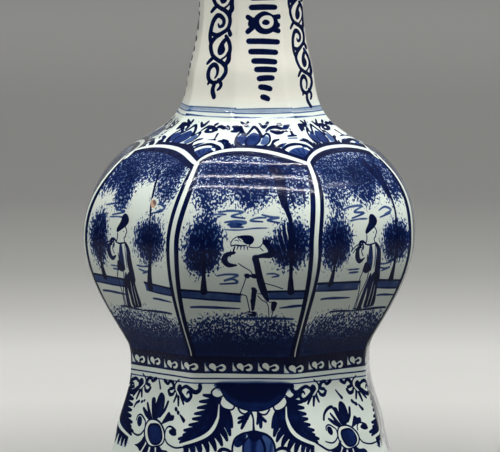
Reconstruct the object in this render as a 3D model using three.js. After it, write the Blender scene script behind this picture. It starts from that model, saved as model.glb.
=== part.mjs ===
// An octagonal bottle vase in tin-glazed earthenware: a spreading foot, a full belly, a tapering
// neck and a garlic head. Vases of this kind are pressed or thrown in sections, which are luted
// together with clay slip before the firing, so each section and each slip seam is a solid here.
// Millimetres, +Z up. The vase stands on z = 0, its axis is x = y = 0 and a flat faces -Y.
import * as THREE from 'three';

// Heights of the five sections, seam to seam
const FOOT_HEIGHT = 77;
const LOWER_BELLY_HEIGHT = 67;
const UPPER_BELLY_HEIGHT = 56;
const NECK_HEIGHT = 92;
const HEAD_HEIGHT = 53;

// Radii over the eight ribs
const STANDING_RADIUS = 77.6;
const FOOT_RADIUS = 78.6;
const FOOT_FLARE_RADIUS = 70.8;
const WAIST_RADIUS = 62.9;
const BELLY_RADIUS = 87.9;
const LOWER_CURVE_RADIUS = 65.5;
const SHOULDER_RADIUS = 69.9;
const NECK_BASE_RADIUS = 41.3;
const NECK_MIDDLE_RADIUS = 30.8;
const NECK_TOP_RADIUS = 26.6;
const HEAD_RADIUS = 36;
const HEAD_SHOULDER_RADIUS = 19.6;
const THROAT_RADIUS = 17.4;
const LIP_RADIUS = 19.2;

// Wall thickness, measured square to the surface
const FOOT_WALL = 6.5;
const BELLY_WALL = 5.5;
const NECK_WALL = 5;
const LIP_WALL = 3.8;

// Slope of the outline, radius per height, where it runs through a bend
const STANDING_SLOPE = 0.25;
const FOOT_SLOPE = -0.15;
const LOWER_CURVE_SLOPE = 0.62;
const SHOULDER_SLOPE = -1.16;
const NECK_BASE_SLOPE = -0.96;
const NECK_MIDDLE_SLOPE = -0.29;
const THROAT_SLOPE = -1.1;
const LIP_SLOPE = 0.35;

// How far the bends lie from the seam below them
const FOOT_RIM_RISE = 10;
const FOOT_FLARE_RISE = 45;
const LOWER_CURVE_RISE = 15.6;
const SHOULDER_RISE = 38.3;
const NECK_MIDDLE_RISE = 30;
const HEAD_RISE = 20;
const HEAD_SHOULDER_RISE = 39;
const THROAT_RISE = 45;

// The flats: how many there are, how flat they lie and how sharp the ribs are
const FLATS = 8;
const RIB_SHARPNESS = 90;
const FOOT_FLATNESS = 0.85;
const BELLY_FLATNESS = 0.95;
const SHOULDER_FLATNESS = 0.85;
const NECK_FLATNESS = 0.9;
const HEAD_FLATNESS = 0.75;
const LIP_FLATNESS = 0.3;
// The flats to the front, the back and the sides are a little wider or narrower than the others
const FLAT_WANDER_DEG = 1.75;
// The sections were luted on a little out of line with the belly, the neck most of all
const FOOT_TWIST_DEG = -1.3;
const SHOULDER_TWIST_DEG = 3.2;
const NECK_TWIST_DEG = 11.3;

// The slip seams, the base and the lip
const SEAM_THICKNESS = 1.2;
const SEAM_BEAD = 0.8;
const BASE_RECESS = 9;
const BASE_THICKNESS = 7;
const STANDING_EDGE_WIDTH = 11;
const EDGE_ROUND = 1.2;
const COIL_SIZE = 6;
const CLEARANCE = 0.3;

// Points round the vase, and the height of one row of faces
const SEGMENTS = FLATS * 6;
const OUTER_ROW_HEIGHT = 6;
const INNER_ROW_HEIGHT = 9;
const ARC_STEPS = 4;

const WAIST_Z = FOOT_HEIGHT;
const BELLY_Z = WAIST_Z + LOWER_BELLY_HEIGHT;
const NECK_Z = BELLY_Z + UPPER_BELLY_HEIGHT;
const HEAD_Z = NECK_Z + NECK_HEIGHT;
const TOP_Z = HEAD_Z + HEAD_HEIGHT;

// The outline of the vase from the table up. The radius between two stations is a cubic.
const STATIONS = [
  { z: 0, radius: STANDING_RADIUS, slope: STANDING_SLOPE, wall: FOOT_WALL, flatness: FOOT_FLATNESS,
    twist: FOOT_TWIST_DEG },
  { z: FOOT_RIM_RISE, radius: FOOT_RADIUS, slope: 0, wall: FOOT_WALL, flatness: FOOT_FLATNESS,
    twist: FOOT_TWIST_DEG },
  { z: FOOT_FLARE_RISE, radius: FOOT_FLARE_RADIUS, slope: FOOT_SLOPE, wall: FOOT_WALL,
    flatness: FOOT_FLATNESS, twist: FOOT_TWIST_DEG },
  { z: WAIST_Z, radius: WAIST_RADIUS, slope: 0, wall: BELLY_WALL, flatness: FOOT_FLATNESS,
    twist: FOOT_TWIST_DEG },
  { z: WAIST_Z + LOWER_CURVE_RISE, radius: LOWER_CURVE_RADIUS, slope: LOWER_CURVE_SLOPE, wall: BELLY_WALL,
    flatness: BELLY_FLATNESS, twist: FOOT_TWIST_DEG },
  { z: BELLY_Z, radius: BELLY_RADIUS, slope: 0, wall: BELLY_WALL, flatness: BELLY_FLATNESS, twist: 0 },
  { z: BELLY_Z + SHOULDER_RISE, radius: SHOULDER_RADIUS, slope: SHOULDER_SLOPE, wall: BELLY_WALL,
    flatness: SHOULDER_FLATNESS, twist: SHOULDER_TWIST_DEG },
  { z: NECK_Z, radius: NECK_BASE_RADIUS, slope: NECK_BASE_SLOPE, wall: NECK_WALL, flatness: NECK_FLATNESS,
    twist: NECK_TWIST_DEG },
  { z: NECK_Z + NECK_MIDDLE_RISE, radius: NECK_MIDDLE_RADIUS, slope: NECK_MIDDLE_SLOPE, wall: NECK_WALL,
    flatness: NECK_FLATNESS, twist: NECK_TWIST_DEG },
  { z: HEAD_Z, radius: NECK_TOP_RADIUS, slope: 0, wall: NECK_WALL, flatness: NECK_FLATNESS,
    twist: NECK_TWIST_DEG },
  { z: HEAD_Z + HEAD_RISE, radius: HEAD_RADIUS, slope: 0, wall: NECK_WALL, flatness: HEAD_FLATNESS,
    twist: NECK_TWIST_DEG },
  { z: HEAD_Z + HEAD_SHOULDER_RISE, radius: HEAD_SHOULDER_RADIUS, slope: THROAT_SLOPE, wall: LIP_WALL,
    flatness: LIP_FLATNESS, twist: NECK_TWIST_DEG },
  { z: HEAD_Z + THROAT_RISE, radius: THROAT_RADIUS, slope: 0, wall: LIP_WALL, flatness: LIP_FLATNESS,
    twist: NECK_TWIST_DEG },
  { z: TOP_Z, radius: LIP_RADIUS, slope: LIP_SLOPE, wall: LIP_WALL, flatness: LIP_FLATNESS,
    twist: NECK_TWIST_DEG },
];

// The two stations that a height lies between, and how far it is from the first to the second
function span(z) {
  let i = 0;
  while (i < STATIONS.length - 2 && z > STATIONS[i + 1].z) i += 1;
  const low = STATIONS[i];
  const high = STATIONS[i + 1];
  const step = high.z - low.z;
  return { low, high, step, t: THREE.MathUtils.clamp((z - low.z) / step, 0, 1) };
}

function eased(z, key) {
  const { low, high, t } = span(z);
  return low[key] + (high[key] - low[key]) * t * t * (3 - 2 * t);
}

function outerRadius(z) {
  const { low, high, step, t } = span(z);
  const fromLow = low.radius * (2 * t ** 3 - 3 * t ** 2 + 1) + low.slope * step * (t ** 3 - 2 * t ** 2 + t);
  const fromHigh = high.radius * (3 * t ** 2 - 2 * t ** 3) + high.slope * step * (t ** 3 - t ** 2);
  return fromLow + fromHigh;
}

// A wall of even thickness is wider, measured level, where the outline slopes
function innerRadius(z) {
  const reach = 0.5;
  const slope = (outerRadius(z + reach) - outerRadius(z - reach)) / (2 * reach);
  return outerRadius(z) - eased(z, 'wall') * Math.hypot(1, slope);
}

// The eight-sided plan, about 1 at the ribs: a soft maximum over the flats' directions, eased to
// round. A turn of 0 is the middle of the front flat.
function plan(turn, z) {
  const wander = THREE.MathUtils.degToRad(FLAT_WANDER_DEG);
  let sum = 0;
  for (let flat = 0; flat < FLATS; flat += 1) {
    const even = (flat * 2 * Math.PI) / FLATS;
    sum += Math.max(0, Math.cos(turn - even - wander * Math.sin(2 * even))) ** RIB_SHARPNESS;
  }
  const atRib = Math.cos(Math.PI / FLATS) * 2 ** (1 / RIB_SHARPNESS);
  const flatSided = atRib / sum ** (1 / RIB_SHARPNESS);
  return 1 + (flatSided - 1) * eased(z, 'flatness');
}

// Turns a closed profile of (radius over the ribs, height) round the axis, and gives it the flats.
// The points round a ring are moved so that a point lies on each rib, also where the flats twist.
function turned(profile) {
  const geometry = new THREE.LatheGeometry(profile.map(([r, z]) => new THREE.Vector2(r, z)), SEGMENTS);
  geometry.rotateX(Math.PI / 2);
  const position = geometry.attributes.position;
  for (let i = 0; i < position.count; i += 1) {
    const x = position.getX(i);
    const y = position.getY(i);
    const z = position.getZ(i);
    const even = Math.atan2(y, x) + Math.PI / 2;
    const turn = even + THREE.MathUtils.degToRad(FLAT_WANDER_DEG) * Math.SQRT1_2 * Math.sin(2 * even);
    const angle = turn + THREE.MathUtils.degToRad(eased(z, 'twist')) - Math.PI / 2;
    const reach = Math.hypot(x, y) * plan(turn, z);
    position.setXY(i, reach * Math.cos(angle), reach * Math.sin(angle));
  }
  geometry.computeVertexNormals();
  return geometry;
}

// Heights from one level to another, in even rows
function rows(from, to, rowHeight) {
  const count = Math.max(1, Math.round(Math.abs(to - from) / rowHeight));
  return Array.from({ length: count + 1 }, (_, i) => from + ((to - from) * i) / count);
}

const outerWall = (from, to) => rows(from, to, OUTER_ROW_HEIGHT).map((z) => [outerRadius(z), z]);
const innerWall = (from, to) => rows(from, to, INNER_ROW_HEIGHT).map((z) => [innerRadius(z), z]);

// Lathe profiles run up the outside and down the inside, so that the faces point out
function shellProfile(bottom, top) {
  const profile = [...outerWall(bottom, top), ...innerWall(top, bottom)];
  return [...profile, profile[0]];
}

// The foot's standing edge is a thick ring, whose top is the ledge that the base slab lies on
function footProfile(top) {
  const ledge = (z) => outerRadius(z) - STANDING_EDGE_WIDTH;
  const profile = [
    [ledge(0) + EDGE_ROUND, 0],
    [outerRadius(0) - EDGE_ROUND, 0],
    ...outerWall(EDGE_ROUND, top),
    ...innerWall(top, BASE_RECESS),
    [ledge(0), BASE_RECESS],
    [ledge(0), EDGE_ROUND],
  ];
  return [...profile, profile[0]];
}

// The garlic head ends in a lip that is rolled over in a half circle
function headProfile(bottom) {
  const lipRadius = LIP_WALL / 2;
  const rollZ = TOP_Z - lipRadius;
  const middle = (outerRadius(rollZ) + innerRadius(rollZ)) / 2;
  const reach = (outerRadius(rollZ) - innerRadius(rollZ)) / 2;
  const roll = Array.from({ length: ARC_STEPS * 2 - 1 }, (_, i) => {
    const angle = ((i + 1) * Math.PI) / (ARC_STEPS * 2);
    return [middle + reach * Math.cos(angle), rollZ + lipRadius * Math.sin(angle)];
  });
  const profile = [...outerWall(bottom, rollZ), ...roll, ...innerWall(rollZ, bottom)];
  return [...profile, profile[0]];
}

// A slip seam fills the joint from wall to wall, and stands a little proud inside
function seamProfile(z) {
  const low = z - SEAM_THICKNESS / 2;
  const high = z + SEAM_THICKNESS / 2;
  const profile = [
    [outerRadius(low), low],
    [outerRadius(high), high],
    [innerRadius(high), high],
    [innerRadius(z) - SEAM_BEAD, z],
    [innerRadius(low), low],
  ];
  return [...profile, profile[0]];
}

function baseProfile() {
  const top = BASE_RECESS + BASE_THICKNESS;
  return [
    [0, BASE_RECESS],
    [innerRadius(BASE_RECESS) - CLEARANCE, BASE_RECESS],
    [innerRadius(top) - CLEARANCE, top],
    [0, top],
  ];
}

// A coil of clay pressed into the corner over the base slab, with a hollow face
function coilProfile() {
  const low = BASE_RECESS + BASE_THICKNESS;
  const hollow = Array.from({ length: ARC_STEPS + 1 }, (_, i) => {
    const angle = ((ARC_STEPS - i) * Math.PI) / (2 * ARC_STEPS);
    const z = low + COIL_SIZE * (1 - Math.cos(angle));
    return [innerRadius(z) - CLEARANCE - COIL_SIZE * (1 - Math.sin(angle)) - SEAM_BEAD, z];
  });
  const profile = [
    [innerRadius(low) - CLEARANCE, low],
    [innerRadius(low + COIL_SIZE) - CLEARANCE, low + COIL_SIZE],
    ...hollow,
  ];
  return [...profile, profile[0]];
}

const glaze = () => new THREE.MeshStandardMaterial({ color: 0xdfe4dc, roughness: 0.15, metalness: 0 });
const paintedGlaze = () => new THREE.MeshStandardMaterial({ color: 0x8f9cb8, roughness: 0.15, metalness: 0 });
const slip = () => new THREE.MeshStandardMaterial({ color: 0xd8c3a4, roughness: 0.8, metalness: 0 });

function piece(name, profile, material) {
  const mesh = new THREE.Mesh(turned(profile), material);
  mesh.name = name;
  return mesh;
}

const HALF_SEAM = SEAM_THICKNESS / 2;
const vase = new THREE.Group();
vase.add(
  piece('foot_section', footProfile(WAIST_Z - HALF_SEAM), paintedGlaze()),
  piece('base_slab', baseProfile(), glaze()),
  piece('base_luting_coil', coilProfile(), slip()),
  piece('waist_slip_seam', seamProfile(WAIST_Z), slip()),
  piece('lower_belly', shellProfile(WAIST_Z + HALF_SEAM, BELLY_Z - HALF_SEAM), paintedGlaze()),
  piece('belly_slip_seam', seamProfile(BELLY_Z), slip()),
  piece('upper_belly', shellProfile(BELLY_Z + HALF_SEAM, NECK_Z - HALF_SEAM), paintedGlaze()),
  piece('neck_slip_seam', seamProfile(NECK_Z), slip()),
  piece('neck_section', shellProfile(NECK_Z + HALF_SEAM, HEAD_Z - HALF_SEAM), glaze()),
  piece('head_slip_seam', seamProfile(HEAD_Z), slip()),
  piece('garlic_head', headProfile(HEAD_Z + HALF_SEAM), glaze()),
);

export default vase;
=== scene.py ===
import math

import bpy
import numpy as np
from mathutils import Euler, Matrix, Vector
from mathutils.geometry import delaunay_2d_cdt


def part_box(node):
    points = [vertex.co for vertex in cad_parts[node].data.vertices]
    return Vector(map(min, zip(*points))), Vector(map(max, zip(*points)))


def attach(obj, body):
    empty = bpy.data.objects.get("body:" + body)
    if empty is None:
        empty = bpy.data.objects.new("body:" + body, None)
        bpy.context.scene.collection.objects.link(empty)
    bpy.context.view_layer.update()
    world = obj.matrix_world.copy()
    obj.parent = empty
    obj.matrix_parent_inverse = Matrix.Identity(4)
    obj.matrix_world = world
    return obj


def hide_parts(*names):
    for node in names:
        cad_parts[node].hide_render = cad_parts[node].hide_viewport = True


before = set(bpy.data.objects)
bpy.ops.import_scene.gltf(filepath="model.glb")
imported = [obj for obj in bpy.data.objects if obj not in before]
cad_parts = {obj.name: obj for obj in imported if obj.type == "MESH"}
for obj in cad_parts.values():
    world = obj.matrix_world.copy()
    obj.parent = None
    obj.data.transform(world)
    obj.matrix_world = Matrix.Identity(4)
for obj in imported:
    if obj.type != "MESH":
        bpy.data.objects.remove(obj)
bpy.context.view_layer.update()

# Lengths are in millimetres up to the last step, where a mesh is written in metres
mm = 0.001
fullTurn = 2 * math.pi


def addObject(name, data):
    thing = bpy.data.objects.new(name, data)
    bpy.context.scene.collection.objects.link(thing)
    return thing


# Camera: far away, looking a little down on the belly
view = {
    "distance": 2680.0,
    "aimHeight": 147.0,
    "aimSide": -0.4,
    "elevation": math.radians(5.45),
    "azimuth": math.radians(2.4),
    "widthSeen": 250.0,
}


def makeCamera():
    camera = addObject("camera", bpy.data.cameras.new("camera"))
    level = view["distance"] * math.cos(view["elevation"])
    side = Vector((math.cos(view["azimuth"]), math.sin(view["azimuth"]), 0))
    aim = side * view["aimSide"] + Vector((0, 0, view["aimHeight"]))
    offset = Vector((math.sin(view["azimuth"]) * level, -math.cos(view["azimuth"]) * level,
                     view["distance"] * math.sin(view["elevation"])))
    camera.location = (aim + offset) * mm
    camera.rotation_euler = (-offset).to_track_quat("-Z", "Y").to_euler()
    camera.data.sensor_width = 36
    camera.data.lens = camera.data.sensor_width * view["distance"] / view["widthSeen"]
    camera.data.clip_end = 100
    bpy.context.scene.camera = camera


makeCamera()
print("camera ready")


# The vase's outline, the same as the solids': the seams' heights come from the frame
def middleOf(node):
    low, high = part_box(node)
    return (low[2] + high[2]) / 2 / mm


waistZ = middleOf("waist_slip_seam")
bellyZ = middleOf("belly_slip_seam")
neckZ = middleOf("neck_slip_seam")
headZ = middleOf("head_slip_seam")
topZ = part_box("garlic_head")[1][2] / mm

vase = {
    "flats": 8,
    "ribSharpness": 90,
    "flatWander": math.radians(1.75),
    "footTwist": -1.3,
    "shoulderTwist": 3.2,
    "neckTwist": 11.3,
    "baseRecess": 9.0,
    "baseThickness": 7.0,
    "standingEdge": 11.0,
    "seam": 1.2,
    "glazeSkin": 1.0,
    "lipRoll": 1.9,
    "bareBelow": 1.5,
}

# Stations: height, radius over the ribs, slope, wall, flatness, twist in degrees
stations = np.array([
    (0, 77.6, 0.25, 6.5, 0.85, vase["footTwist"]),
    (10, 78.6, 0, 6.5, 0.85, vase["footTwist"]),
    (45, 70.8, -0.15, 6.5, 0.85, vase["footTwist"]),
    (waistZ, 62.9, 0, 5.5, 0.85, vase["footTwist"]),
    (waistZ + 15.6, 65.5, 0.62, 5.5, 0.95, vase["footTwist"]),
    (bellyZ, 87.9, 0, 5.5, 0.95, 0),
    (bellyZ + 38.3, 69.9, -1.16, 5.5, 0.85, vase["shoulderTwist"]),
    (neckZ, 41.3, -0.96, 5, 0.9, vase["neckTwist"]),
    (neckZ + 30, 30.8, -0.29, 5, 0.9, vase["neckTwist"]),
    (headZ, 26.6, 0, 5, 0.9, vase["neckTwist"]),
    (headZ + 20, 36, 0, 5, 0.75, vase["neckTwist"]),
    (headZ + 39, 19.6, -1.1, 3.8, 0.3, vase["neckTwist"]),
    (headZ + 45, 17.4, 0, 3.8, 0.3, vase["neckTwist"]),
    (topZ, 19.2, 0.35, 3.8, 0.3, vase["neckTwist"]),
])
column = {"height": 0, "radius": 1, "slope": 2, "wall": 3, "flatness": 4, "twist": 5}


def spanAt(height):
    height = np.asarray(height, float)
    levels = stations[:, column["height"]]
    low = np.clip(np.searchsorted(levels, height, side="right") - 1, 0, len(levels) - 2)
    step = levels[low + 1] - levels[low]
    return low, step, np.clip((height - levels[low]) / step, 0, 1)


def eased(height, name):
    low, _, t = spanAt(height)
    first, second = stations[low, column[name]], stations[low + 1, column[name]]
    return first + (second - first) * t * t * (3 - 2 * t)


def outerRadius(height):
    low, step, t = spanAt(height)
    radius, slope = stations[:, column["radius"]], stations[:, column["slope"]]
    return (radius[low] * (2 * t**3 - 3 * t**2 + 1) + slope[low] * step * (t**3 - 2 * t**2 + t)
            + radius[low + 1] * (3 * t**2 - 2 * t**3) + slope[low + 1] * step * (t**3 - t**2))


def innerRadius(height):
    slope = outerRadius(np.asarray(height) + 0.5) - outerRadius(np.asarray(height) - 0.5)
    return outerRadius(height) - eased(height, "wall") * np.hypot(1, slope)


# The flats to the front, back and sides are a little wider or narrower than those between them
evenTurns = np.arange(vase["flats"]) * fullTurn / vase["flats"]
flatTurns = evenTurns + vase["flatWander"] * np.sin(2 * evenTurns)
faceTurns = np.degrees(flatTurns)
ribTurns = (faceTurns + np.append(faceTurns[1:], 360)) / 2


# The eight-sided plan, about 1 at the ribs. A turn of 0 is the middle of the front flat.
def planShare(turn, height):
    total = sum(np.maximum(0, np.cos(turn - angle)) ** vase["ribSharpness"] for angle in flatTurns)
    atRib = math.cos(math.pi / vase["flats"]) * 2 ** (1 / vase["ribSharpness"])
    flatSided = atRib / total ** (1 / vase["ribSharpness"])
    return 1 + (flatSided - 1) * eased(height, "flatness")


# Even turns round the vase, set a little closer where the flats are narrower
def ringTurns(columns, start=0.0):
    even = start + np.arange(columns + 1) / columns * fullTurn
    return even + vase["flatWander"] / math.sqrt(2) * (np.sin(2 * even) - np.sin(2 * start))


# The distance from the axis to the middle of a flat
def flatRadius(height):
    return outerRadius(height) * planShare(0.0, height)


def surfacePoint(turn, height, radius):
    angle = turn + np.radians(eased(height, "twist")) - math.pi / 2
    reach = radius * planShare(turn, height)
    return np.stack([reach * np.cos(angle), reach * np.sin(angle), height + 0 * angle], axis=-1)


def surfaceNormal(turn, height, radiusAt):
    small, smallTurn = 0.05, 0.05 / 40
    around = surfacePoint(turn + smallTurn, height, radiusAt(height)) \
        - surfacePoint(turn - smallTurn, height, radiusAt(height))
    up = surfacePoint(turn, height + small, radiusAt(height + small)) \
        - surfacePoint(turn, height - small, radiusAt(height - small))
    normal = np.cross(around, up)
    return normal / np.linalg.norm(normal, axis=-1, keepdims=True)


# Brush strokes. Each is drawn on the plane that touches one flat or rib: x is across, z is the height.
def smooth(points, closed, spacing):
    points = np.asarray(points, float)
    count = len(points)
    if count < 3:
        steps = max(2, int(np.linalg.norm(points[-1] - points[0]) / (2 * spacing)) + 1)
        return points[0] + (points[-1] - points[0]) * np.linspace(0, 1, steps)[:, None]
    spans = count if closed else count - 1
    curve = []
    for i in range(spans):
        around = [points[(i + k) % count] if closed else points[min(max(i + k, 0), count - 1)]
                  for k in (-1, 0, 1, 2)]
        steps = max(2, int(math.ceil(np.linalg.norm(around[2] - around[1]) / spacing)))
        for t in np.arange(steps) / steps:
            curve.append(0.5 * (2 * around[1] + (around[2] - around[0]) * t
                                + (2 * around[0] - 5 * around[1] + 4 * around[2] - around[3]) * t**2
                                + (3 * around[1] - around[0] - 3 * around[2] + around[3]) * t**3))
    if not closed:
        curve.append(points[-1])
    return np.array(curve)


def brush(points, width, strength=0.95, edge=0.2, closed=False, spacing=0.8):
    spine = smooth(points, closed, spacing)
    widths = np.atleast_1d(np.asarray(width, float))
    along = np.linspace(0, 1, len(spine))
    half = np.interp(along, np.linspace(0, 1, len(widths)), widths) / 2
    strengths = np.atleast_1d(np.asarray(strength, float))
    power = np.interp(along, np.linspace(0, 1, len(strengths)), strengths)
    return {"kind": "brush", "points": spine, "half": half, "power": power, "edge": edge, "closed": closed}


def fill(points, strength=0.95, edge=0.2, rounded=True):
    outline = smooth(points, True, 1.0) if rounded else np.asarray(points, float)
    return {"kind": "fill", "points": outline, "power": strength, "edge": edge}


def sponge(x, z, acrossSize, upSize, strength, edge):
    return {"kind": "sponge", "points": np.array([(x, z)], float), "size": (acrossSize, upSize),
            "power": strength, "edge": edge}


def band(low, high, strength, edge=0.2, sway=0.0, seed=0):
    return {"kind": "band", "low": low, "high": high, "power": strength, "edge": edge, "sway": sway,
            "seed": seed}


def wiped(stroke, layer="wipe"):
    return {**stroke, "layer": layer}


painting = []
hand = np.random.default_rng(29)


# Puts strokes on the vase: turn is the middle of the drawing plane, in degrees from the front flat
def lay(strokes, turn=0.0, x=0.0, z=0.0, size=1.0, mirror=False, loose=0.0):
    flip = -1 if mirror else 1
    drift = hand.normal(0, loose, 2)
    for stroke in strokes:
        jog = drift + hand.normal(0, loose * 0.35, 2)
        placed = dict(stroke)
        if "points" in stroke:
            placed["points"] = stroke["points"] * (size * flip, size) + (x, z) + jog
        if "half" in stroke:
            placed["half"] = stroke["half"] * size
        placed["turn"] = math.radians(turn)
        painting.append(placed)


def moved(strokes, x, z):
    return [{**stroke, "points": stroke["points"] + (x, z)} for stroke in strokes]


def swayAt(stroke, turn):
    seed = stroke["seed"]
    return stroke["sway"] * (np.sin(3 * turn + seed) + 0.6 * np.sin(8 * turn + 2.3 * seed)
                             + 0.35 * np.sin(17 * turn + 4.1 * seed)) / 2


def turnOf(stroke, points):
    return stroke["turn"] + np.arctan2(points[:, 0], flatRadius(points[:, 1]))


def sideNormals(points, closed):
    if closed:
        ahead = np.roll(points, -1, axis=0) - np.roll(points, 1, axis=0)
    else:
        ahead = np.gradient(points, axis=0)
    length = np.maximum(np.linalg.norm(ahead, axis=1, keepdims=True), 1e-9)
    return np.stack([-ahead[:, 1], ahead[:, 0]], axis=1) / length


def brushOutline(stroke, grow):
    points, closed = stroke["points"], stroke["closed"]
    half = np.maximum(stroke["half"] + grow, 0)
    if half.max() <= 0.02:
        return [(points, closed)] if grow < 0 else []
    normals = sideNormals(points, closed)
    left = points + normals * half[:, None]
    right = points - normals * half[:, None]
    if closed:
        return [(left, True), (right, True)]
    caps = []
    for end, outward in ((-1, 1), (0, -1)):
        steps = 3 if half[end] > 0.35 else 1
        forward = np.array([normals[end][1], -normals[end][0]]) * outward
        side = normals[end] * outward
        angles = np.arange(1, steps + 1) * math.pi / (steps + 1)
        caps.append(points[end] + half[end] * (np.cos(angles)[:, None] * side
                                               + np.sin(angles)[:, None] * forward))
    return [(np.concatenate([left, caps[0], right[::-1], caps[1]]), True)]


# The lines that the paint's edge follows: where it begins to show, and where it has its full strength
def contours(stroke):
    reach = stroke["edge"] / 2
    if stroke["kind"] == "brush":
        return brushOutline(stroke, reach) + brushOutline(stroke, -reach)
    if stroke["kind"] == "fill":
        normals = sideNormals(stroke["points"], True)
        return [(stroke["points"] + normals * side, True) for side in (reach, -reach)]
    return []


def distanceToSegments(spots, points, half, closed):
    start = points if closed else points[:-1]
    end = np.roll(points, -1, axis=0) if closed else points[1:]
    halfStart = half if closed else half[:-1]
    halfEnd = np.roll(half, -1) if closed else half[1:]
    way = end - start
    length2 = np.maximum((way**2).sum(axis=1), 1e-12)
    offset = spots[:, None, :] - start[None]
    share = np.clip((offset * way).sum(axis=2) / length2, 0, 1)
    gap = np.linalg.norm(offset - share[..., None] * way, axis=2)
    edge = gap - (halfStart + (halfEnd - halfStart) * share)
    nearest = edge.argmin(axis=1)
    rows = np.arange(len(spots))
    return edge[rows, nearest], nearest + share[rows, nearest]


def insidePolygon(spots, points):
    start, end = points, np.roll(points, -1, axis=0)
    above = (start[None, :, 1] > spots[:, None, 1]) != (end[None, :, 1] > spots[:, None, 1])
    rise = np.where(end[:, 1] == start[:, 1], 1e-12, end[:, 1] - start[:, 1])
    crossing = start[:, 0] + (spots[:, None, 1] - start[:, 1]) * (end[:, 0] - start[:, 0]) / rise
    return (above & (spots[:, None, 0] < crossing)).sum(axis=1) % 2 == 1


# How much of a stroke lies on each spot, and how strong it is there
def coverage(stroke, spots):
    if stroke["kind"] == "brush":
        gap, place = distanceToSegments(spots, stroke["points"], stroke["half"], stroke["closed"])
        power = np.interp(place, np.arange(len(stroke["power"])), stroke["power"])
    elif stroke["kind"] == "fill":
        gap, _ = distanceToSegments(spots, stroke["points"], np.zeros(len(stroke["points"])), True)
        gap = np.where(insidePolygon(spots, stroke["points"]), -gap, gap)
        power = stroke["power"]
    else:
        reach = np.linalg.norm((spots - stroke["points"][0]) / stroke["size"], axis=1)
        return np.clip((1 - reach) / stroke["edge"], 0, 1), stroke["power"]
    return np.clip(0.5 - gap / stroke["edge"], 0, 1), power


# Layer 0 is cobalt laid by brush, 1 sponged cobalt, 2 bare clay
paintNames = ("cobalt", "sponged", "bare")
# A radius beyond every flat keeps the search wide where a stroke lies all to one side
beyondFlats = 99


def paintVertices(turn, height):
    layers = np.zeros((3, len(turn)))
    order = np.argsort(turn)
    sortedTurn = turn[order]
    flat = flatRadius(height)
    for stroke in painting:
        if stroke["kind"] == "band":
            middle = swayAt(stroke, turn)
            inside = np.minimum(height - stroke["low"] - middle, stroke["high"] + middle - height)
            cover = np.clip(0.5 + inside / stroke["edge"], 0, 1)
            chosen = np.nonzero(cover > 0)[0]
            blend(layers, stroke, chosen, cover[chosen], stroke["power"])
            continue
        margin = stroke["edge"] + (stroke["half"].max() if "half" in stroke else 0)
        lowest, highest = stroke["points"].min(axis=0) - margin, stroke["points"].max(axis=0) + margin
        if stroke["kind"] == "sponge":
            lowest = stroke["points"][0] - stroke["size"]
            highest = stroke["points"][0] + stroke["size"]
        if highest[1] < height.min() or lowest[1] > height.max():
            continue
        least = flatRadius(np.linspace(lowest[1], highest[1], 9)).min()
        for whole in (-fullTurn, 0, fullTurn):
            centre = stroke["turn"] + whole
            leftReach = least if lowest[0] < 0 else beyondFlats
            rightReach = least if highest[0] > 0 else beyondFlats
            first = np.searchsorted(sortedTurn, centre + math.atan2(lowest[0], leftReach))
            last = np.searchsorted(sortedTurn, centre + math.atan2(highest[0], rightReach))
            near = order[first:last]
            near = near[(height[near] > lowest[1]) & (height[near] < highest[1])]
            if not len(near):
                continue
            spots = np.stack([flat[near] * np.tan(turn[near] - centre), height[near]], axis=1)
            cover, power = coverage(stroke, spots)
            blend(layers, stroke, near, cover, power)
    return layers


# Where one stroke crosses another, this share of the weaker one darkens the stronger
overlap = 0.12


def blend(layers, stroke, chosen, cover, power):
    layer = stroke.get("layer")
    if layer == "wipe":
        layers[:2, chosen] *= 1 - cover
    elif layer == "bare":
        layers[2, chosen] = np.maximum(layers[2, chosen], cover * power)
        layers[:2, chosen] *= 1 - cover
    elif stroke["kind"] == "sponge":
        layers[1, chosen] = 1 - (1 - layers[1, chosen]) * (1 - cover * power)
    else:
        before = layers[0, chosen]
        wet = np.maximum(before, power) + overlap * np.minimum(before, power)
        layers[0, chosen] = before + cover * (wet - before)


# Meshes
def writeMesh(name, points, triangles, normals, uvs, layers):
    mesh = bpy.data.meshes.new(name)
    mesh.from_pydata((points * mm).tolist(), [], triangles.tolist())
    mesh.uv_layers.new(name="OFBake").data.foreach_set("uv", uvs.reshape(-1))
    for k, label in enumerate(paintNames):
        values = mesh.attributes.new(label, "FLOAT", "POINT").data
        values.foreach_set("value", layers[k].astype(np.float32))
    mesh.shade_smooth()
    mesh.normals_split_custom_set_from_vertices(normals.tolist())
    return addObject(name, mesh)


skinGrid = {"step": 2.2, "edgeStep": 1.6, "columns": 320, "nearBand": 2.0, "nearStroke": 0.5}
lining = {"columns": 96, "uvShare": 0.14, "uvMargin": 0.01, "uvEnds": 0.04}
seamTurn = math.radians(ribTurns[4])


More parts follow.
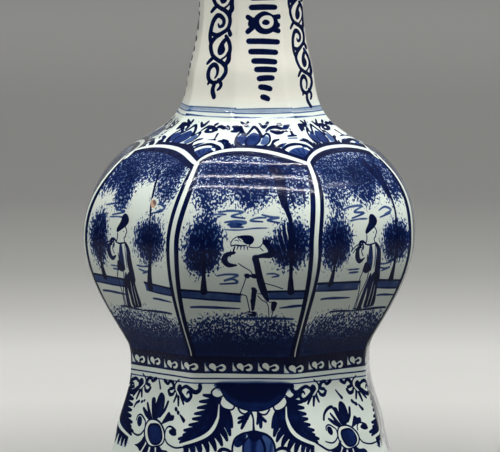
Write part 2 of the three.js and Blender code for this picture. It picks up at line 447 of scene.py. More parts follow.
# The painted skin of one section, cut into triangles along the edges of its paint
def paintedSkin(bottom, top, strips):
    scale = float(outerRadius((bottom + top) / 2))
    left, right = seamTurn - fullTurn, seamTurn
    heights = np.linspace(bottom, top, max(2, int((top - bottom) / skinGrid["edgeStep"])) + 1)
    turns = np.linspace(left, right, skinGrid["columns"] + 1)
    points, edges = [], []

    def addLine(turn, height, closed):
        first = len(points)
        points.extend(zip(turn * scale, height))
        edges.extend((first + i, first + i + 1) for i in range(len(turn) - 1))
        if closed:
            edges.append((first + len(turn) - 1, first))

    for height in (bottom, top):
        addLine(turns, np.full(len(turns), float(height)), False)
    for k in range(strips + 1):
        addLine(np.full(len(heights), left + k * fullTurn / strips), heights, False)
    for turn in np.radians(ribTurns):
        for whole in (-fullTurn, 0):
            if left + 0.01 < turn + whole < right - 0.01:
                addLine(np.full(len(heights), turn + whole), heights, False)
    rowCount = max(2, int((top - bottom) / skinGrid["step"]))
    columnCount = int(fullTurn * scale / skinGrid["step"])
    for row in range(1, rowCount):
        shifted = (np.arange(columnCount) + 0.5 * (row % 2) + 0.25) / columnCount
        points.extend(zip((left + shifted * fullTurn) * scale,
                          np.full(columnCount, bottom + (top - bottom) * row / rowCount)))
    for stroke in painting:
        if stroke["kind"] == "band":
            near = skinGrid["nearBand"]
            if stroke["high"] < bottom - near or stroke["low"] > top + near:
                continue
            middle = swayAt(stroke, turns)
            for side in (-0.5, 0.5):
                for limit in ("low", "high"):
                    addLine(turns, stroke[limit] + middle + side * stroke["edge"], False)
            continue
        near = skinGrid["nearStroke"]
        for outline, closed in contours(stroke):
            if outline[:, 1].max() < bottom - near or outline[:, 1].min() > top + near:
                continue
            turn = turnOf(stroke, outline)
            for whole in (-fullTurn, 0, fullTurn):
                if (turn + whole).max() > left and (turn + whole).min() < right:
                    addLine(turn + whole, outline[:, 1], closed)
    found, _, faces, _, _, _ = delaunay_2d_cdt([Vector(p) for p in points], edges, [], 0, 1e-3, False)
    flat = np.array([(v.x / scale, v.y) for v in found])
    triangles = np.array([f for f in faces if len(f) == 3])
    middle = flat[triangles].mean(axis=1)
    keep = (middle[:, 0] > left) & (middle[:, 0] < right) & (middle[:, 1] > bottom) & (middle[:, 1] < top)
    triangles = triangles[keep]
    used = np.unique(triangles)
    renumber = np.full(len(flat), -1)
    renumber[used] = np.arange(len(used))
    return flat[used], renumber[triangles], middle[keep]


# Joins two rings of vertices, each in order round the vase, with a strip of triangles
def zipRings(first, second, turns):
    triangles = []
    i = j = 0
    while i < len(first) - 1 or j < len(second) - 1:
        nextFirst = turns[first[i + 1]] if i < len(first) - 1 else math.inf
        nextSecond = turns[second[j + 1]] if j < len(second) - 1 else math.inf
        if nextFirst <= nextSecond:
            triangles.append((first[i], first[i + 1], second[j]))
            i += 1
        else:
            triangles.append((first[i], second[j + 1], second[j]))
            j += 1
    return triangles


# One section of the vase: its painted skin outside, and its wall's ends and inside as a lining.
# The lining runs from the skin's top edge over the wall and down the inside to the skin's bottom edge.
def paintedSection(name, bottom, top, inside, strips):
    flat, skin, middle = paintedSkin(bottom, top, strips)
    left = seamTurn - fullTurn
    layers = paintVertices(flat[:, 0], flat[:, 1])
    turn, height = flat[:, 0], flat[:, 1]
    points = surfacePoint(turn, height, outerRadius(height))
    normals = surfaceNormal(turn, height, outerRadius)
    rise = np.linspace(bottom, top, 200)
    run = np.concatenate([[0], np.cumsum(np.hypot(np.diff(rise), np.diff(outerRadius(rise))))])
    climb = np.interp(height, rise, run) / run[-1]
    strip = np.clip(((middle[:, 0] - left) / fullTurn * strips).astype(int), 0, strips - 1)
    room = (1 - lining["uvShare"]) / strips
    margin = lining["uvMargin"]
    used = 1 - 2 * margin
    uv = np.stack([((turn[skin] - left) / fullTurn * strips - strip[:, None]) * used + margin,
                   lining["uvShare"] + (strip[:, None] + margin + used * climb[skin]) * room], axis=2)

    columns = lining["columns"]
    turns = ringTurns(columns, left)
    profile = np.array(inside, float)
    count = len(points)
    rings = []
    extraPoints, extraNormals, extraTurns = [], [], []
    tangent = np.gradient(profile, axis=0)
    for (radius, z), (dr, dz) in zip(profile, tangent):
        rings.append(count + len(extraTurns) + np.arange(columns + 1))
        ring = surfacePoint(turns, np.full(columns + 1, z), radius)
        angle = turns + math.radians(float(eased(z, "twist"))) - math.pi / 2
        length = max(math.hypot(dr, dz), 1e-9)
        outward = np.stack([np.cos(angle) * dz / length, np.sin(angle) * dz / length,
                            np.full(columns + 1, -dr / length)], axis=1)
        extraPoints.append(ring)
        extraNormals.append(outward)
        extraTurns.extend(turns)
    allTurns = np.concatenate([turn, extraTurns])
    topRing = sorted(np.nonzero(np.abs(height - top) < 1e-4)[0], key=lambda v: turn[v])
    bottomRing = sorted(np.nonzero(np.abs(height - bottom) < 1e-4)[0], key=lambda v: turn[v])
    more = zipRings(topRing, list(rings[0]), allTurns)
    for upper, lower in zip(rings[:-1], rings[1:]):
        more.extend((upper[i], upper[i + 1], lower[i + 1]) for i in range(columns))
        more.extend((upper[i], lower[i + 1], lower[i]) for i in range(columns))
    more.extend(zipRings(list(rings[-1]), bottomRing, allTurns))
    more = np.array(more)
    ends = lining["uvEnds"]
    depth = np.concatenate([np.where(height > (top + bottom) / 2, 0, 1),
                            np.repeat(np.linspace(ends, 1 - ends, len(rings)), columns + 1)])
    moreUv = np.stack([(allTurns[more] - left) / fullTurn,
                       depth[more] * (lining["uvShare"] - margin)], axis=2)
    triangles = np.concatenate([skin, more])
    uv = np.concatenate([uv, moreUv])
    points = np.concatenate([points, *extraPoints])
    normals = np.concatenate([normals, *extraNormals])
    layers = np.concatenate([layers, np.zeros((3, len(extraTurns)))], axis=1)
    # the standing edge has no glaze
    for ring, z in zip(rings, profile[:, 1]):
        if z < vase["bareBelow"]:
            layers[2, ring] = 1

    # The first and the last column are the same place, so the last is welded to the first
    key = np.round(points, 3)
    _, firstOf, sameAs = np.unique(key, axis=0, return_index=True, return_inverse=True)
    triangles = sameAs.reshape(-1)[triangles]
    sound = (triangles[:, 0] != triangles[:, 1]) & (triangles[:, 1] != triangles[:, 2]) \
        & (triangles[:, 0] != triangles[:, 2])
    piece = writeMesh(name, points[firstOf], triangles[sound], normals[firstOf], uv[sound],
                      layers[:, firstOf])
    print(name, "has", int(sound.sum()), "triangles")
    return piece


# A plain turned solid with the vase's eight-sided plan, from a closed profile
def turnedSolid(name, profile):
    columns = lining["columns"]
    profile = np.array(profile, float)
    turns = ringTurns(columns)[:-1]
    rings = [surfacePoint(turns, np.full(columns, z), max(radius, 0.01)) for radius, z in profile]
    points = np.concatenate(rings)
    count = len(profile)
    quads, uv = [], []
    for k in range(count):
        for i in range(columns):
            a, b = k * columns, (k + 1) % count * columns
            j = (i + 1) % columns
            quads.append((a + i, a + j, b + j, b + i))
            for across, row in ((i, k), (i + 1, k), (i + 1, k + 1), (i, k + 1)):
                uv.append((across / columns, row / count))
    mesh = bpy.data.meshes.new(name)
    mesh.from_pydata((points * mm).tolist(), [], quads)
    mesh.uv_layers.new(name="OFBake").data.foreach_set("uv", np.array(uv).reshape(-1))
    for label in paintNames:
        mesh.attributes.new(label, "FLOAT", "POINT")
    mesh.shade_smooth()
    mesh.set_sharp_from_angle(angle=math.radians(40))
    return addObject(name, mesh)


# Materials
def addNode(tree, kind, inputs=None, **settings):
    node = tree.nodes.new("ShaderNode" + kind)
    for name, value in settings.items():
        setattr(node, name, value)
    for name, value in (inputs or {}).items():
        socket = node.inputs[name]
        if isinstance(value, bpy.types.NodeSocket):
            tree.links.new(value, socket)
        else:
            socket.default_value = value
    return node


def newMaterial(name):
    material = bpy.data.materials.new(name)
    material.use_nodes = True
    tree = material.node_tree
    tree.nodes.clear()
    output = addNode(tree, "OutputMaterial")
    return material, tree, output


def mathNode(tree, operation, first, second, third=0.0, clamp=False):
    return addNode(tree, "Math", {0: first, 1: second, 2: third}, operation=operation,
                   use_clamp=clamp).outputs[0]


def noiseAt(tree, place, scale, detail, roughness=0.5):
    return addNode(tree, "TexNoise", {"Vector": place, "Scale": scale, "Detail": detail,
                                      "Roughness": roughness}).outputs["Fac"]


def rangeNode(tree, value, low, high):
    return addNode(tree, "MapRange", {"Value": value, "From Min": low, "From Max": high}).outputs[0]


def attributeNode(tree, name):
    return addNode(tree, "Attribute", attribute_name=name).outputs["Fac"]


# 1 where the camera, a mirror or a glass looks at the surface, 0 where only its light counts
def seenDirectly(tree):
    path = addNode(tree, "LightPath")
    seen = mathNode(tree, "MAXIMUM", path.outputs["Is Camera Ray"], path.outputs["Is Transmission Ray"])
    return mathNode(tree, "MAXIMUM", seen, path.outputs["Is Glossy Ray"])


def mixed(tree, share, first, second):
    node = addNode(tree, "Mix", data_type="RGBA")
    for index, value in ((0, share), (6, first), (7, second)):
        socket = node.inputs[index]
        if isinstance(value, bpy.types.NodeSocket):
            tree.links.new(value, socket)
        else:
            socket.default_value = value
    return node.outputs[2]


def rampNode(tree, share, stops):
    node = addNode(tree, "ValToRGB", {"Fac": share})
    elements = node.color_ramp.elements
    while len(elements) < len(stops):
        elements.new(0.5)
    for element, (place, color) in zip(elements, stops):
        element.position = place
        element.color = (*color, 1)
    return node.outputs["Color"]


glaze = {
    "cream": (0.80, 0.79, 0.69, 1),
    # the white below the neck is darker than the cream: partly the glaze's own tint, partly painted shade
    "shadedGreen": (0.70, 0.765, 0.69, 1),
    "creamFrom": 0.206,
    "creamTo": 0.214,
    "iron": (0.16, 0.13, 0.11, 1),
    "ironShare": 0.55,
    "clay": (0.46, 0.23, 0.09, 1),
    "paleClay": (0.62, 0.38, 0.2, 1),
    "roughness": 0.04,
    "roughnessSpread": 0.08,
    "bareRoughness": 0.6,
    "waveHeight": 0.00022,
    "peelHeight": 0.00003,
    "dabHeight": 0.0001,
}

# Cobalt from its palest wash to its darkest, by how much of it is laid
cobalt = {
    "tones": [(0.0, (0.40, 0.52, 0.70)), (0.32, (0.085, 0.15, 0.285)), (0.52, (0.023, 0.055, 0.185)),
              (0.74, (0.005, 0.017, 0.095)), (0.95, (0.001, 0.004, 0.032))],
    "grain": 1080,
    "grainStretch": (1, 1, 0.55),
    "gateSoftness": 0.06,
    "covering": 3.2,
}


def paintedGlaze():
    material, tree, output = newMaterial("painted_glaze")
    place = addNode(tree, "TexCoord").outputs["Object"]
    brushMarks, sponged, bare = (attributeNode(tree, name) for name in paintNames)
    # White glaze: cream on neck and shoulder, a darker greenish white lower down that is partly the glaze's
    # own tint and partly painted shade, with a few iron specks
    cloud = noiseAt(tree, place, 22, 3)
    height = addNode(tree, "SeparateXYZ", {0: place}).outputs["Z"]
    rise = rangeNode(tree, height, glaze["creamFrom"], glaze["creamTo"])
    warm = mathNode(tree, "ADD", rise, mathNode(tree, "MULTIPLY_ADD", cloud, 1.6, -0.8), clamp=True)
    white = mixed(tree, warm, glaze["shadedGreen"], glaze["cream"])
    cell = addNode(tree, "TexVoronoi", {"Vector": place, "Scale": 70.0}).outputs["Distance"]
    speck = mathNode(tree, "MULTIPLY", rangeNode(tree, cell, 0.035, 0.02),
                     rangeNode(tree, noiseAt(tree, place, 55, 0), 0.62, 0.66))
    white = mixed(tree, mathNode(tree, "MULTIPLY", speck, glaze["ironShare"]), white, glaze["iron"])
    # Brushed strokes vary a little along their length
    streak = noiseAt(tree, place, 160, 2)
    brushed = mathNode(tree, "MULTIPLY", brushMarks, mathNode(tree, "MULTIPLY_ADD", streak, 0.5, 0.76))
    # Sponged areas break into small dabs: the stronger they are, the more of the grain passes the gate
    upright = addNode(tree, "Mapping", {"Vector": place, "Scale": cobalt["grainStretch"]}).outputs[0]
    grain = noiseAt(tree, upright, cobalt["grain"], 1, 0.6)
    gate = mathNode(tree, "MULTIPLY_ADD", sponged, -0.38, 0.72)
    dab = rangeNode(tree, grain, mathNode(tree, "SUBTRACT", gate, cobalt["gateSoftness"]),
                    mathNode(tree, "ADD", gate, cobalt["gateSoftness"]))
    tone = mathNode(tree, "MULTIPLY_ADD", mathNode(tree, "POWER", sponged, 4.0), 0.32, 0.62)
    dabbed = mathNode(tree, "MULTIPLY", mathNode(tree, "MULTIPLY", dab, tone),
                      mathNode(tree, "GREATER_THAN", sponged, 0.02))
    washed = mathNode(tree, "MULTIPLY_ADD", mathNode(tree, "POWER", sponged, 8.0), 0.42,
                      mathNode(tree, "MULTIPLY", mathNode(tree, "POWER", sponged, 3.0), 0.16))
    laid = mathNode(tree, "MAXIMUM", brushed, mathNode(tree, "MAXIMUM", dabbed, washed))
    shown = mathNode(tree, "MULTIPLY", laid, cobalt["covering"], clamp=True)
    color = mixed(tree, shown, white, rampNode(tree, laid, cobalt["tones"]))
    clay = mixed(tree, noiseAt(tree, place, 300, 3), glaze["clay"], glaze["paleClay"])
    color = mixed(tree, bare, color, clay)
    rough = mathNode(tree, "MULTIPLY_ADD", noiseAt(tree, place, 60, 2), glaze["roughnessSpread"],
                     glaze["roughness"])
    rough = mathNode(tree, "ADD", rough, mathNode(tree, "MULTIPLY", bare, glaze["bareRoughness"]))
    # The glaze flows: slow waves, a fine orange peel, and the sponged cobalt a little proud
    peel = mathNode(tree, "MULTIPLY", noiseAt(tree, place, 560, 2), glaze["peelHeight"])
    wave = mathNode(tree, "MULTIPLY_ADD", noiseAt(tree, place, 45, 1), glaze["waveHeight"], peel)
    relief = mathNode(tree, "ADD", wave, mathNode(tree, "MULTIPLY", dabbed, glaze["dabHeight"]))
    bump = addNode(tree, "Bump", {"Height": relief, "Strength": 1.0, "Distance": 1.0}).outputs[0]
    shader = addNode(tree, "BsdfPrincipled", {"Base Color": color, "Roughness": rough, "Normal": bump,
                                              "IOR": 1.5, "Specular IOR Level": 0.08})
    tree.links.new(shader.outputs[0], output.inputs["Surface"])
    return material


slip = {"dark": (0.48, 0.30, 0.16, 1), "pale": (0.66, 0.48, 0.30, 1), "roughness": 0.8, "relief": 0.0006}


def slipClay():
    material, tree, output = newMaterial("slip_clay")
    place = addNode(tree, "TexCoord").outputs["Object"]
    grain = noiseAt(tree, place, 350, 4, 0.65)
    color = mixed(tree, grain, slip["dark"], slip["pale"])
    bump = addNode(tree, "Bump", {"Height": grain, "Strength": 0.5, "Distance": slip["relief"]}).outputs[0]
    shader = addNode(tree, "BsdfPrincipled", {"Base Color": color, "Roughness": slip["roughness"],
                                              "Normal": bump})
    tree.links.new(shader.outputs[0], output.inputs["Surface"])
    return material


# The paper's grey changes with the distance from the vase, which is given as a share of its reach: painted
# shadow close round the vase, then a painted pool of light, and further out painted light and shade
stage = {
    "floorSize": 30.0,
    "floorDrop": 0.0002,
    "reach": 6.0,
    "bounce": (0.2, 0.2, 0.2, 1),
    "worldBounce": (0.052, 0.054, 0.057, 1),
    "worldSeen": (0.275, 0.278, 0.258, 1),
    "paintedLightGreys": [(0.0, 0.25), (0.045, 0.39), (0.08, 0.56), (0.12, 0.6), (0.16, 0.49), (0.2, 0.4), (0.3, 0.33),
              (0.5, 0.4), (0.75, 0.58), (1.0, 0.74)],
}


def backdropPaper():
    material, tree, output = newMaterial("backdrop_paper")
    place = addNode(tree, "TexCoord").outputs["Object"]
    away = addNode(tree, "VectorMath", {0: place}, operation="LENGTH").outputs["Value"]
    share = mathNode(tree, "DIVIDE", away, stage["reach"])
    # painted shadow near the vase and painted light further out, by distance
    stops = [(grey[0], (grey[1], grey[1] * 0.99, grey[1] * 0.945)) for grey in stage["paintedLightGreys"]]
    pale = rampNode(tree, share, stops)
    # it looks pale, but throws less light up under the belly
    color = mixed(tree, seenDirectly(tree), stage["bounce"], pale)
    shader = addNode(tree, "BsdfPrincipled", {"Base Color": color, "Roughness": 0.9,
                                              "Specular IOR Level": 0.1})
    tree.links.new(shader.outputs[0], output.inputs["Surface"])
    return material


# The decoration. Sizes are millimetres on the vase.
def halfFace(height):
    return float(flatRadius(height)) * math.tan(math.radians(ribTurns[0]))


arch = {
    "rib": 183.4,
    "rise": 6.4,
    "white": 1.35,
    "darkBelow": 3.0,
    "darkAbove": 1.5,
    "ink": 0.96,
    "leaning": (0, 2, 5, 7),
    "leanTop": -0.3,
    "steps": 30,
}


def archPoints(shift, leans):
    share = np.sin(np.linspace(-math.pi / 2, math.pi / 2, arch["steps"]))
    lift = (1 - np.abs(share) ** 2.2) ** 0.7
    if leans:
        # the top lies further left, the left shoulder is fuller and the right one falls earlier
        top = arch["leanTop"]
        lift = np.where(share < top, (1 - np.abs((share - top) / (1 + top)) ** 2.4) ** 0.62,
                        np.cos((share - top) / (1 - top) * math.pi / 2) ** 1.02)
    return np.stack([halfFace(arch["rib"]) * share, arch["rib"] + shift + arch["rise"] * lift], axis=1)


def clippedTree(x, z, wide, high, footZ, lean):
    return [
        sponge(x, z, wide * 1.1, high * 1.12, 0.84, 0.42),
        sponge(x + 0.4, z - 0.5, wide * 0.92, high * 0.98, 0.84, 0.6),
        sponge(x + 0.6, z - 1, wide * 0.7, high * 0.82, 1.0, 0.8),
        brush([(x + lean, z + high * 0.1), (x + 0.5, z - high * 0.6), (x + 0.6, footZ + 5),
               (x + 0.8, footZ + 0.4)], [0.7, 1.7, 1.8, 3.6], 0.97),
    ]


def ground(levels, left, right):
    # A washed path with a dark upper edge and a thinner lower one
    low, high = levels
    middle = (left + right) / 2, (low + high) / 2 + 0.15
    return [
        fill([(left, low), middle, (right, high), (right, high - 3.6), (middle[0], middle[1] - 3.9),
              (left, low - 3.6)], 0.5, 0.5, False),
        brush([(left, low), middle, (right, high)], [1.2, 0.8, 1.2], 0.95),
        brush([(left, low - 3.8), (middle[0], middle[1] - 4.0), (right, high - 3.7)],
              [0.5, 0.9, 0.6], 0.84, 0.4),
    ]


def lyingStroke(x1, z1, x2, z2, width, strength=0.66):
    return brush([(x1, z1), (x1 * 0.7 + x2 * 0.3, z1 * 0.7 + z2 * 0.3 + 0.25), (x2, z2)],
                 [width * 0.7, width, width * 0.3], [strength, strength, strength + 0.16], 0.4)


def cloud(points, width=0.9, strength=0.42):
    return brush(points, [width * 0.8, width * 1.3, width * 1.1, width * 1.25, width * 0.7],
                 [strength + 0.1, strength, strength + 0.26], 0.45)


panel = {"ink": 0.93, "wipedFrom": 200}


# Panel with a dancer in a tilted hat between two clipped trees
def dancerPanel():
    ink = panel["ink"]
    return [
        *clippedTree(-19.8, 145, 12, 16.4, 121.8, 0.4),
        sponge(-22.6, 136.4, 8, 7.6, 0.7, 0.6),
        *clippedTree(22.6, 146, 12.4, 14, 122.0, 0.4),
        sponge(17.2, 140.5, 6.4, 8.6, 0.5, 0.7),
        *[wiped(brush([(13.2 + 2 * k, 151.6 + 1.6 * k), (14.9 + 2 * k, 146.6 + 1.4 * k),
                       (17.6 + 1.8 * k, 140.4 + 1.2 * k)], [0.3, 0.6, 0.2], 0.9, 0.5)) for k in range(5)],
        brush([(12.8, 178), (15.9, 168), (19.4, 161.4), (21.6, 156.7), (23, 148), (23.6, 137)],
              [5.6, 4.2, 2.2, 1.9, 3.4, 2.6], 0.97),
        *[brush([(14.4 + 2.1 * k, 148.6 + 1.6 * k), (16.2 + 2.1 * k, 143.6 + 1.4 * k),
                 (19.6 + 1.8 * k, 136.4 + 0.8 * k)], [0.8, 1.3, 0.7], 0.86) for k in range(4)],
        *ground((122.9, 120.8), -30.2, -1.0),
        *ground((122.3, 122.7), 12.4, 30.4),
        lyingStroke(-25.2, 114.1, -1.2, 113.5, 1.4),
        lyingStroke(30.2, 115.2, 18.2, 113.9, 1.4),
        lyingStroke(24.8, 108.2, -7.9, 108.1, 1.5),
        cloud([(-14, 161.3), (-8.3, 162), (-2.3, 161.3), (-7.6, 159.4), (-0.9, 158.4)]),
        cloud([(-17.7, 159.9), (-14, 160.3), (-10.4, 160.2)], 0.8, 0.36),
        cloud([(-10.3, 156.5), (-5, 157), (0, 156.3), (-7.2, 154.6), (-1.2, 154.2)], 1.1),
        cloud([(-8.6, 155.4), (-5, 155.7), (-2.2, 155.3)], 1.2, 0.5),
        cloud([(-10.2, 153), (-3, 152.8), (4, 153.6), (10.5, 153.8)], 0.6),
        cloud([(7.1, 160.1), (12, 159), (15.7, 158.7), (10.2, 157.6), (16.1, 156.3)]),
        cloud([(9.3, 158.7), (5, 158.6), (1.8, 157.3), (8, 156.8)], 0.8),
        cloud([(-12.8, 130.2), (-8, 131), (-2.6, 130.5), (-9.3, 127.8), (-5, 128.6), (-2.9, 126.8),
               (-11.2, 126.1)]),
        cloud([(11.4, 131.3), (15, 131.4), (17.4, 130.5), (14, 129.7)], 0.7),
        # hat
        fill([(-3.1, 149.7), (0.9, 150.3), (3.9, 149.8), (4.9, 148.1), (3.9, 146.2), (1.5, 145.9),
              (-0.4, 147), (-2, 147.6)], ink),
        brush([(-6.1, 145), (-6.3, 146.7), (-5, 148.6), (-3, 149.8)], 0.45, ink),
        brush([(-6.1, 145), (-4, 145.5), (-1.6, 145.2), (1.4, 145.4)], [0.5, 0.8, 0.5], ink),
        wiped(brush([(-2.3, 148.7), (-0.9, 147.6), (-0.5, 146.7)], [0.5, 0.9, 0.4])),
        brush([(-4.4, 147.7), (-3.2, 147.9), (-2.6, 147.2)], 0.3, ink),
        # hair, a plain cheek line and the collar
        *[brush([(-4.3 + 1.5 * k, 144.7), (-5.1 + 1.75 * k, 143.2)], [0.6, 0.25], ink) for k in range(5)],
        brush([(3.2, 146), (2.4, 144.9), (3.6, 144.4), (7.2, 144.4), (9.1, 146.3), (9.6, 147.4)], 0.42, ink),
        brush([(8, 144.2), (9.4, 142.7)], 0.4, ink),
        brush([(-4.4, 144.2), (-4.9, 142.6), (-5.9, 141.6), (-6.7, 139.6)], 0.4, ink),
        # raised arm in a dark sleeve
        brush([(10.6, 147.2), (12.2, 144.8), (13.9, 142.4), (13.2, 140.9), (9, 140.3), (5.7, 139.6)],
              [2.4, 2.8, 3.4, 3.0, 2.0, 1.6], ink),
        fill([(8.9, 146.8), (9.8, 148.1), (12, 147.9), (13, 146.2), (11.6, 144.6), (10, 145.4)], ink),
        *[brush([(9.5 + 1.05 * k, 147.2), (9.2 + 1.35 * k, 149.3 - 0.3 * abs(k - 1))], [0.9, 0.5], ink)
          for k in range(4)],
        # bent arm
        brush([(-4.2, 141.9), (-8.2, 140.7), (-9.3, 138), (-7.3, 135.7), (-3.3, 135.6)],
              [0.8, 2.2, 3.0, 2.2, 0.6], ink),
        *[brush([(-4.8 - 1.25 * k, 141.4 - 0.3 * k), (-5 - 1.45 * k, 143.4 - 0.75 * k)], [1.0, 0.5], ink)
          for k in range(4)],
        # dark coat down the back
        brush([(5.6, 139.2), (6.5, 136), (7.5, 131.5), (8.8, 126.5), (10.4, 122), (12.3, 117.6)],
              [3.2, 3.2, 3.3, 3.6, 3.4, 1.2], ink),
        brush([(10.8, 126.5), (15, 125.4), (19.4, 123.8)], 0.4, ink),
        # waist, bow, skirt and legs
        brush([(-2.5, 136.5), (-0.2, 134.9), (3.3, 132.8), (4.6, 130.6)], 0.42, ink),
        fill([(0.4, 131), (2.2, 131.5), (3.6, 130.4), (2.6, 129.1), (1, 129.4)], ink),
        fill([(3, 130.5), (5.2, 131.4), (7.2, 130.4), (6.6, 129.1), (4.6, 129.2)], ink),
        brush([(1.3, 129.3), (0.3, 125.8), (-1.4, 121)], 0.42, ink),
        brush([(-1.2, 120.7), (1.4, 120.3), (2.2, 118.6), (3.7, 112)], 0.45, ink),
        brush([(3.9, 117.9), (5, 112.6)], 0.4, ink),
        fill([(4.1, 124.4), (5.9, 124.3), (7.1, 122.5), (6, 121.7), (4.6, 122.3)], ink),
        brush([(5.5, 121.8), (5.2, 117.5), (5.1, 113.2)], [2.6, 2.3, 1.5], ink),
        brush([(7.3, 121.4), (9.6, 121)], 0.4, ink),
        brush([(7.3, 120.3), (9.5, 118), (11.6, 116.7), (12.7, 114.4), (13, 109)], 0.42, ink),
        brush([(12.9, 116.9), (14.6, 117)], 0.4, ink),
        fill([(14.3, 117.1), (16.8, 116.8), (16.4, 114.4), (15.4, 112.2), (14.1, 112.8)], ink),
        brush([(15, 112.3), (14.1, 108.7)], 0.4, ink),
        brush([(3.4, 112.2), (0.6, 111), (-3.1, 109)], 0.42, ink),
        fill([(2.6, 111.4), (4.6, 112.1), (6.6, 111.8), (6.9, 109.9), (5.4, 109.3), (3.2, 109.9)], ink),
        wiped(brush([(2.2, 111.2), (4.6, 111.1)], [0.3, 0.5])),
    ]


# Panel with a standing figure in a tall cap and a long open coat. Its trees differ from side to side.
def courtierTrees(left):
    if left:
        return [
            *clippedTree(-20, 145.4, 8.8, 16, 125.2, 1),
            sponge(18.6, 146.6, 15.4, 15, 0.86, 0.45), sponge(19.2, 145.8, 12, 12.4, 0.97, 0.7),
            brush([(6.4, 179), (8.7, 176), (14.2, 163.4), (17.1, 156.3), (19.8, 146), (19.2, 137),
                   (16.6, 128), (15, 122.8)], [1.0, 1.2, 1.1, 1.0, 1.5, 1.9, 2.6, 4.0], 0.96),
        ]
    return [
        *clippedTree(-22.4, 145.8, 13.4, 15, 125.2, 1), sponge(-21, 143, 9, 9, 0.7, 0.7),
        *clippedTree(19.8, 144.2, 12.4, 12.4, 124.6, 0.4),
        brush([(16.2, 180), (17.5, 168), (19.7, 158), (20.2, 146), (20.4, 138)],
              [2.6, 1.7, 1.2, 1.6, 2.0], 0.95),
    ]


def courtierGarden(left):
    shift = 8 if left else 0
    return [
        *ground((126.2, 125), -30.2, -1.2),
        *ground((124.9, 123.3), 11.4, 30.4),
        lyingStroke(-24.4, 117.9, -4.5, 117.2, 1.3),
        lyingStroke(14.6, 117, 28, 116.2, 1.2),
        lyingStroke(-14.5, 110.7, 3, 109.9, 1.1, 0.85),
        lyingStroke(24.5, 110, 2, 110, 1.3, 0.85),
        cloud([(-18.1, 161.4), (-10.9, 162.6), (-3.8, 162.4), (-9.8, 160), (-2.9, 159), (-11.4, 157)]),
        cloud([(-12.9, 155.8), (-7, 156.3), (-0.9, 156.1)], 0.7),
        *moved([cloud([(8, 159.6), (12.4, 161), (16.7, 159.2), (12.1, 157.5), (15.7, 157.9), (8.4, 156.2)])],
               shift, 0.4 * shift),
        cloud([(-12, 131.8), (-4.3, 131.7)], 0.7),
        cloud([(-10.7, 130.2), (-4.5, 130.2)], 0.9),
        cloud([(8.6, 133.4), (13, 133.1), (17.6, 133.7)], 0.8),
        cloud([(9.6, 131.6), (14, 130.7), (17.6, 131.2), (12, 129.6)], 0.8),
    ]


def courtier():
    ink = panel["ink"]
    return [
        # tall cap
        fill([(2, 158.2), (4.6, 157.2), (6.2, 154.6), (4.8, 152.2), (1.2, 149.9), (-1.4, 148.7), (-2, 150.4),
              (0.2, 154.2), (0.5, 156.8)], ink),
        # plain head and neck
        brush([(4.2, 151.8), (5.3, 150.6), (5.9, 149.2), (5.2, 148.2), (5.2, 147), (4.1, 146.3),
               (4.6, 144.5)], 0.58, ink),
        brush([(3.1, 149.4), (3.9, 149.3)], 0.35, ink),
        brush([(-1.1, 148.2), (-0.9, 146.4), (-1.6, 144.2)], 0.58, ink),
        brush([(-2.2, 143.9), (0.9, 143.3), (5, 144)], [0.5, 0.9, 0.6], ink),
        # coat: dark back, folds and belt
        brush([(5.4, 143.7), (7.5, 140.6), (8.1, 136), (8.8, 131), (10.2, 126)],
              [1.4, 3.0, 3.6, 3.8, 3.8], ink),
        fill([(5.4, 127.4), (8.4, 130), (10.7, 126.5), (13.2, 119), (15, 112.4), (12.4, 111.2), (8, 111.4),
              (6.9, 117), (5.2, 123)], 0.9),
        brush([(1.9, 142.2), (2.2, 137.5), (3, 131.6)], [2.0, 3.6, 3.0], 0.72),
        fill([(-0.8, 134.6), (1.8, 134), (3.8, 131.4), (1.4, 129.8), (-1.4, 130.8)], 0.93),
        brush([(4.9, 142.8), (5.7, 137), (6, 131.5)], [0.3, 0.7, 0.4], 0.5),
        brush([(-0.2, 138.6), (0.5, 134.5), (-0.8, 130.9)], [0.4, 0.9, 1.1], ink),
        brush([(-1.2, 131), (1.2, 130), (3.9, 130.7)], [1.0, 1.8, 1.0], ink),
        wiped(brush([(8.3, 124.6), (9.2, 118), (10, 112.2)], [0.2, 0.45, 0.3])),
        wiped(brush([(10.4, 122.4), (11.6, 117), (12.4, 112)], [0.2, 0.4, 0.3])),
        # sleeve, hand and ribbon
        brush([(-4.6, 143.8), (-7.1, 141.4), (-6.8, 137.6), (-4.6, 135.5), (-2, 137)],
              [1.0, 2.3, 3.1, 2.3, 0.7], ink),
        brush([(-3.4, 143.6), (-4.4, 140.6), (-3.1, 138.2)], 0.58, ink),
        brush([(-6, 144.4), (-4.2, 145.4), (-1.6, 144.2)], [1.4, 1.2, 0.9], ink),
        brush([(-4.2, 145), (-3.2, 142.6), (-3.6, 141)], [0.9, 0.9, 0.5], ink),
        brush([(-5.6, 145.4), (-5, 142.4)], 0.9, ink),
        brush([(-6.4, 144), (-8.7, 143.2), (-11.1, 141.1)], [0.7, 0.5, 0.3], ink),
        brush([(-6.6, 142.6), (-8.8, 141.6), (-9.9, 140.2)], 0.55, ink),
        # skirt
        brush([(-1.1, 130.6), (-1.9, 126.6), (-0.9, 124.6), (0.9, 118), (1.5, 111.5)], 0.58, ink),
        brush([(2.8, 129.8), (3.2, 126), (1.9, 118), (2.6, 111.4)], 0.55, ink),
        brush([(4.8, 128.4), (4.4, 121), (5, 111.6)], [1.2, 2.2, 3.0], 0.86),
        brush([(1.2, 111.3), (4, 110.7), (7, 111)], 0.6, ink),
    ]


# Leaves that hang from the top of a panel: sponged masses with single dabs at their lower edge
def dabs(*spots):
    return [brush([(x, z), (x + 0.3, z + 0.5)], 0.8, 0.85) for x, z in spots]


def sponges(*masses):
    return [sponge(*mass) for mass in masses]


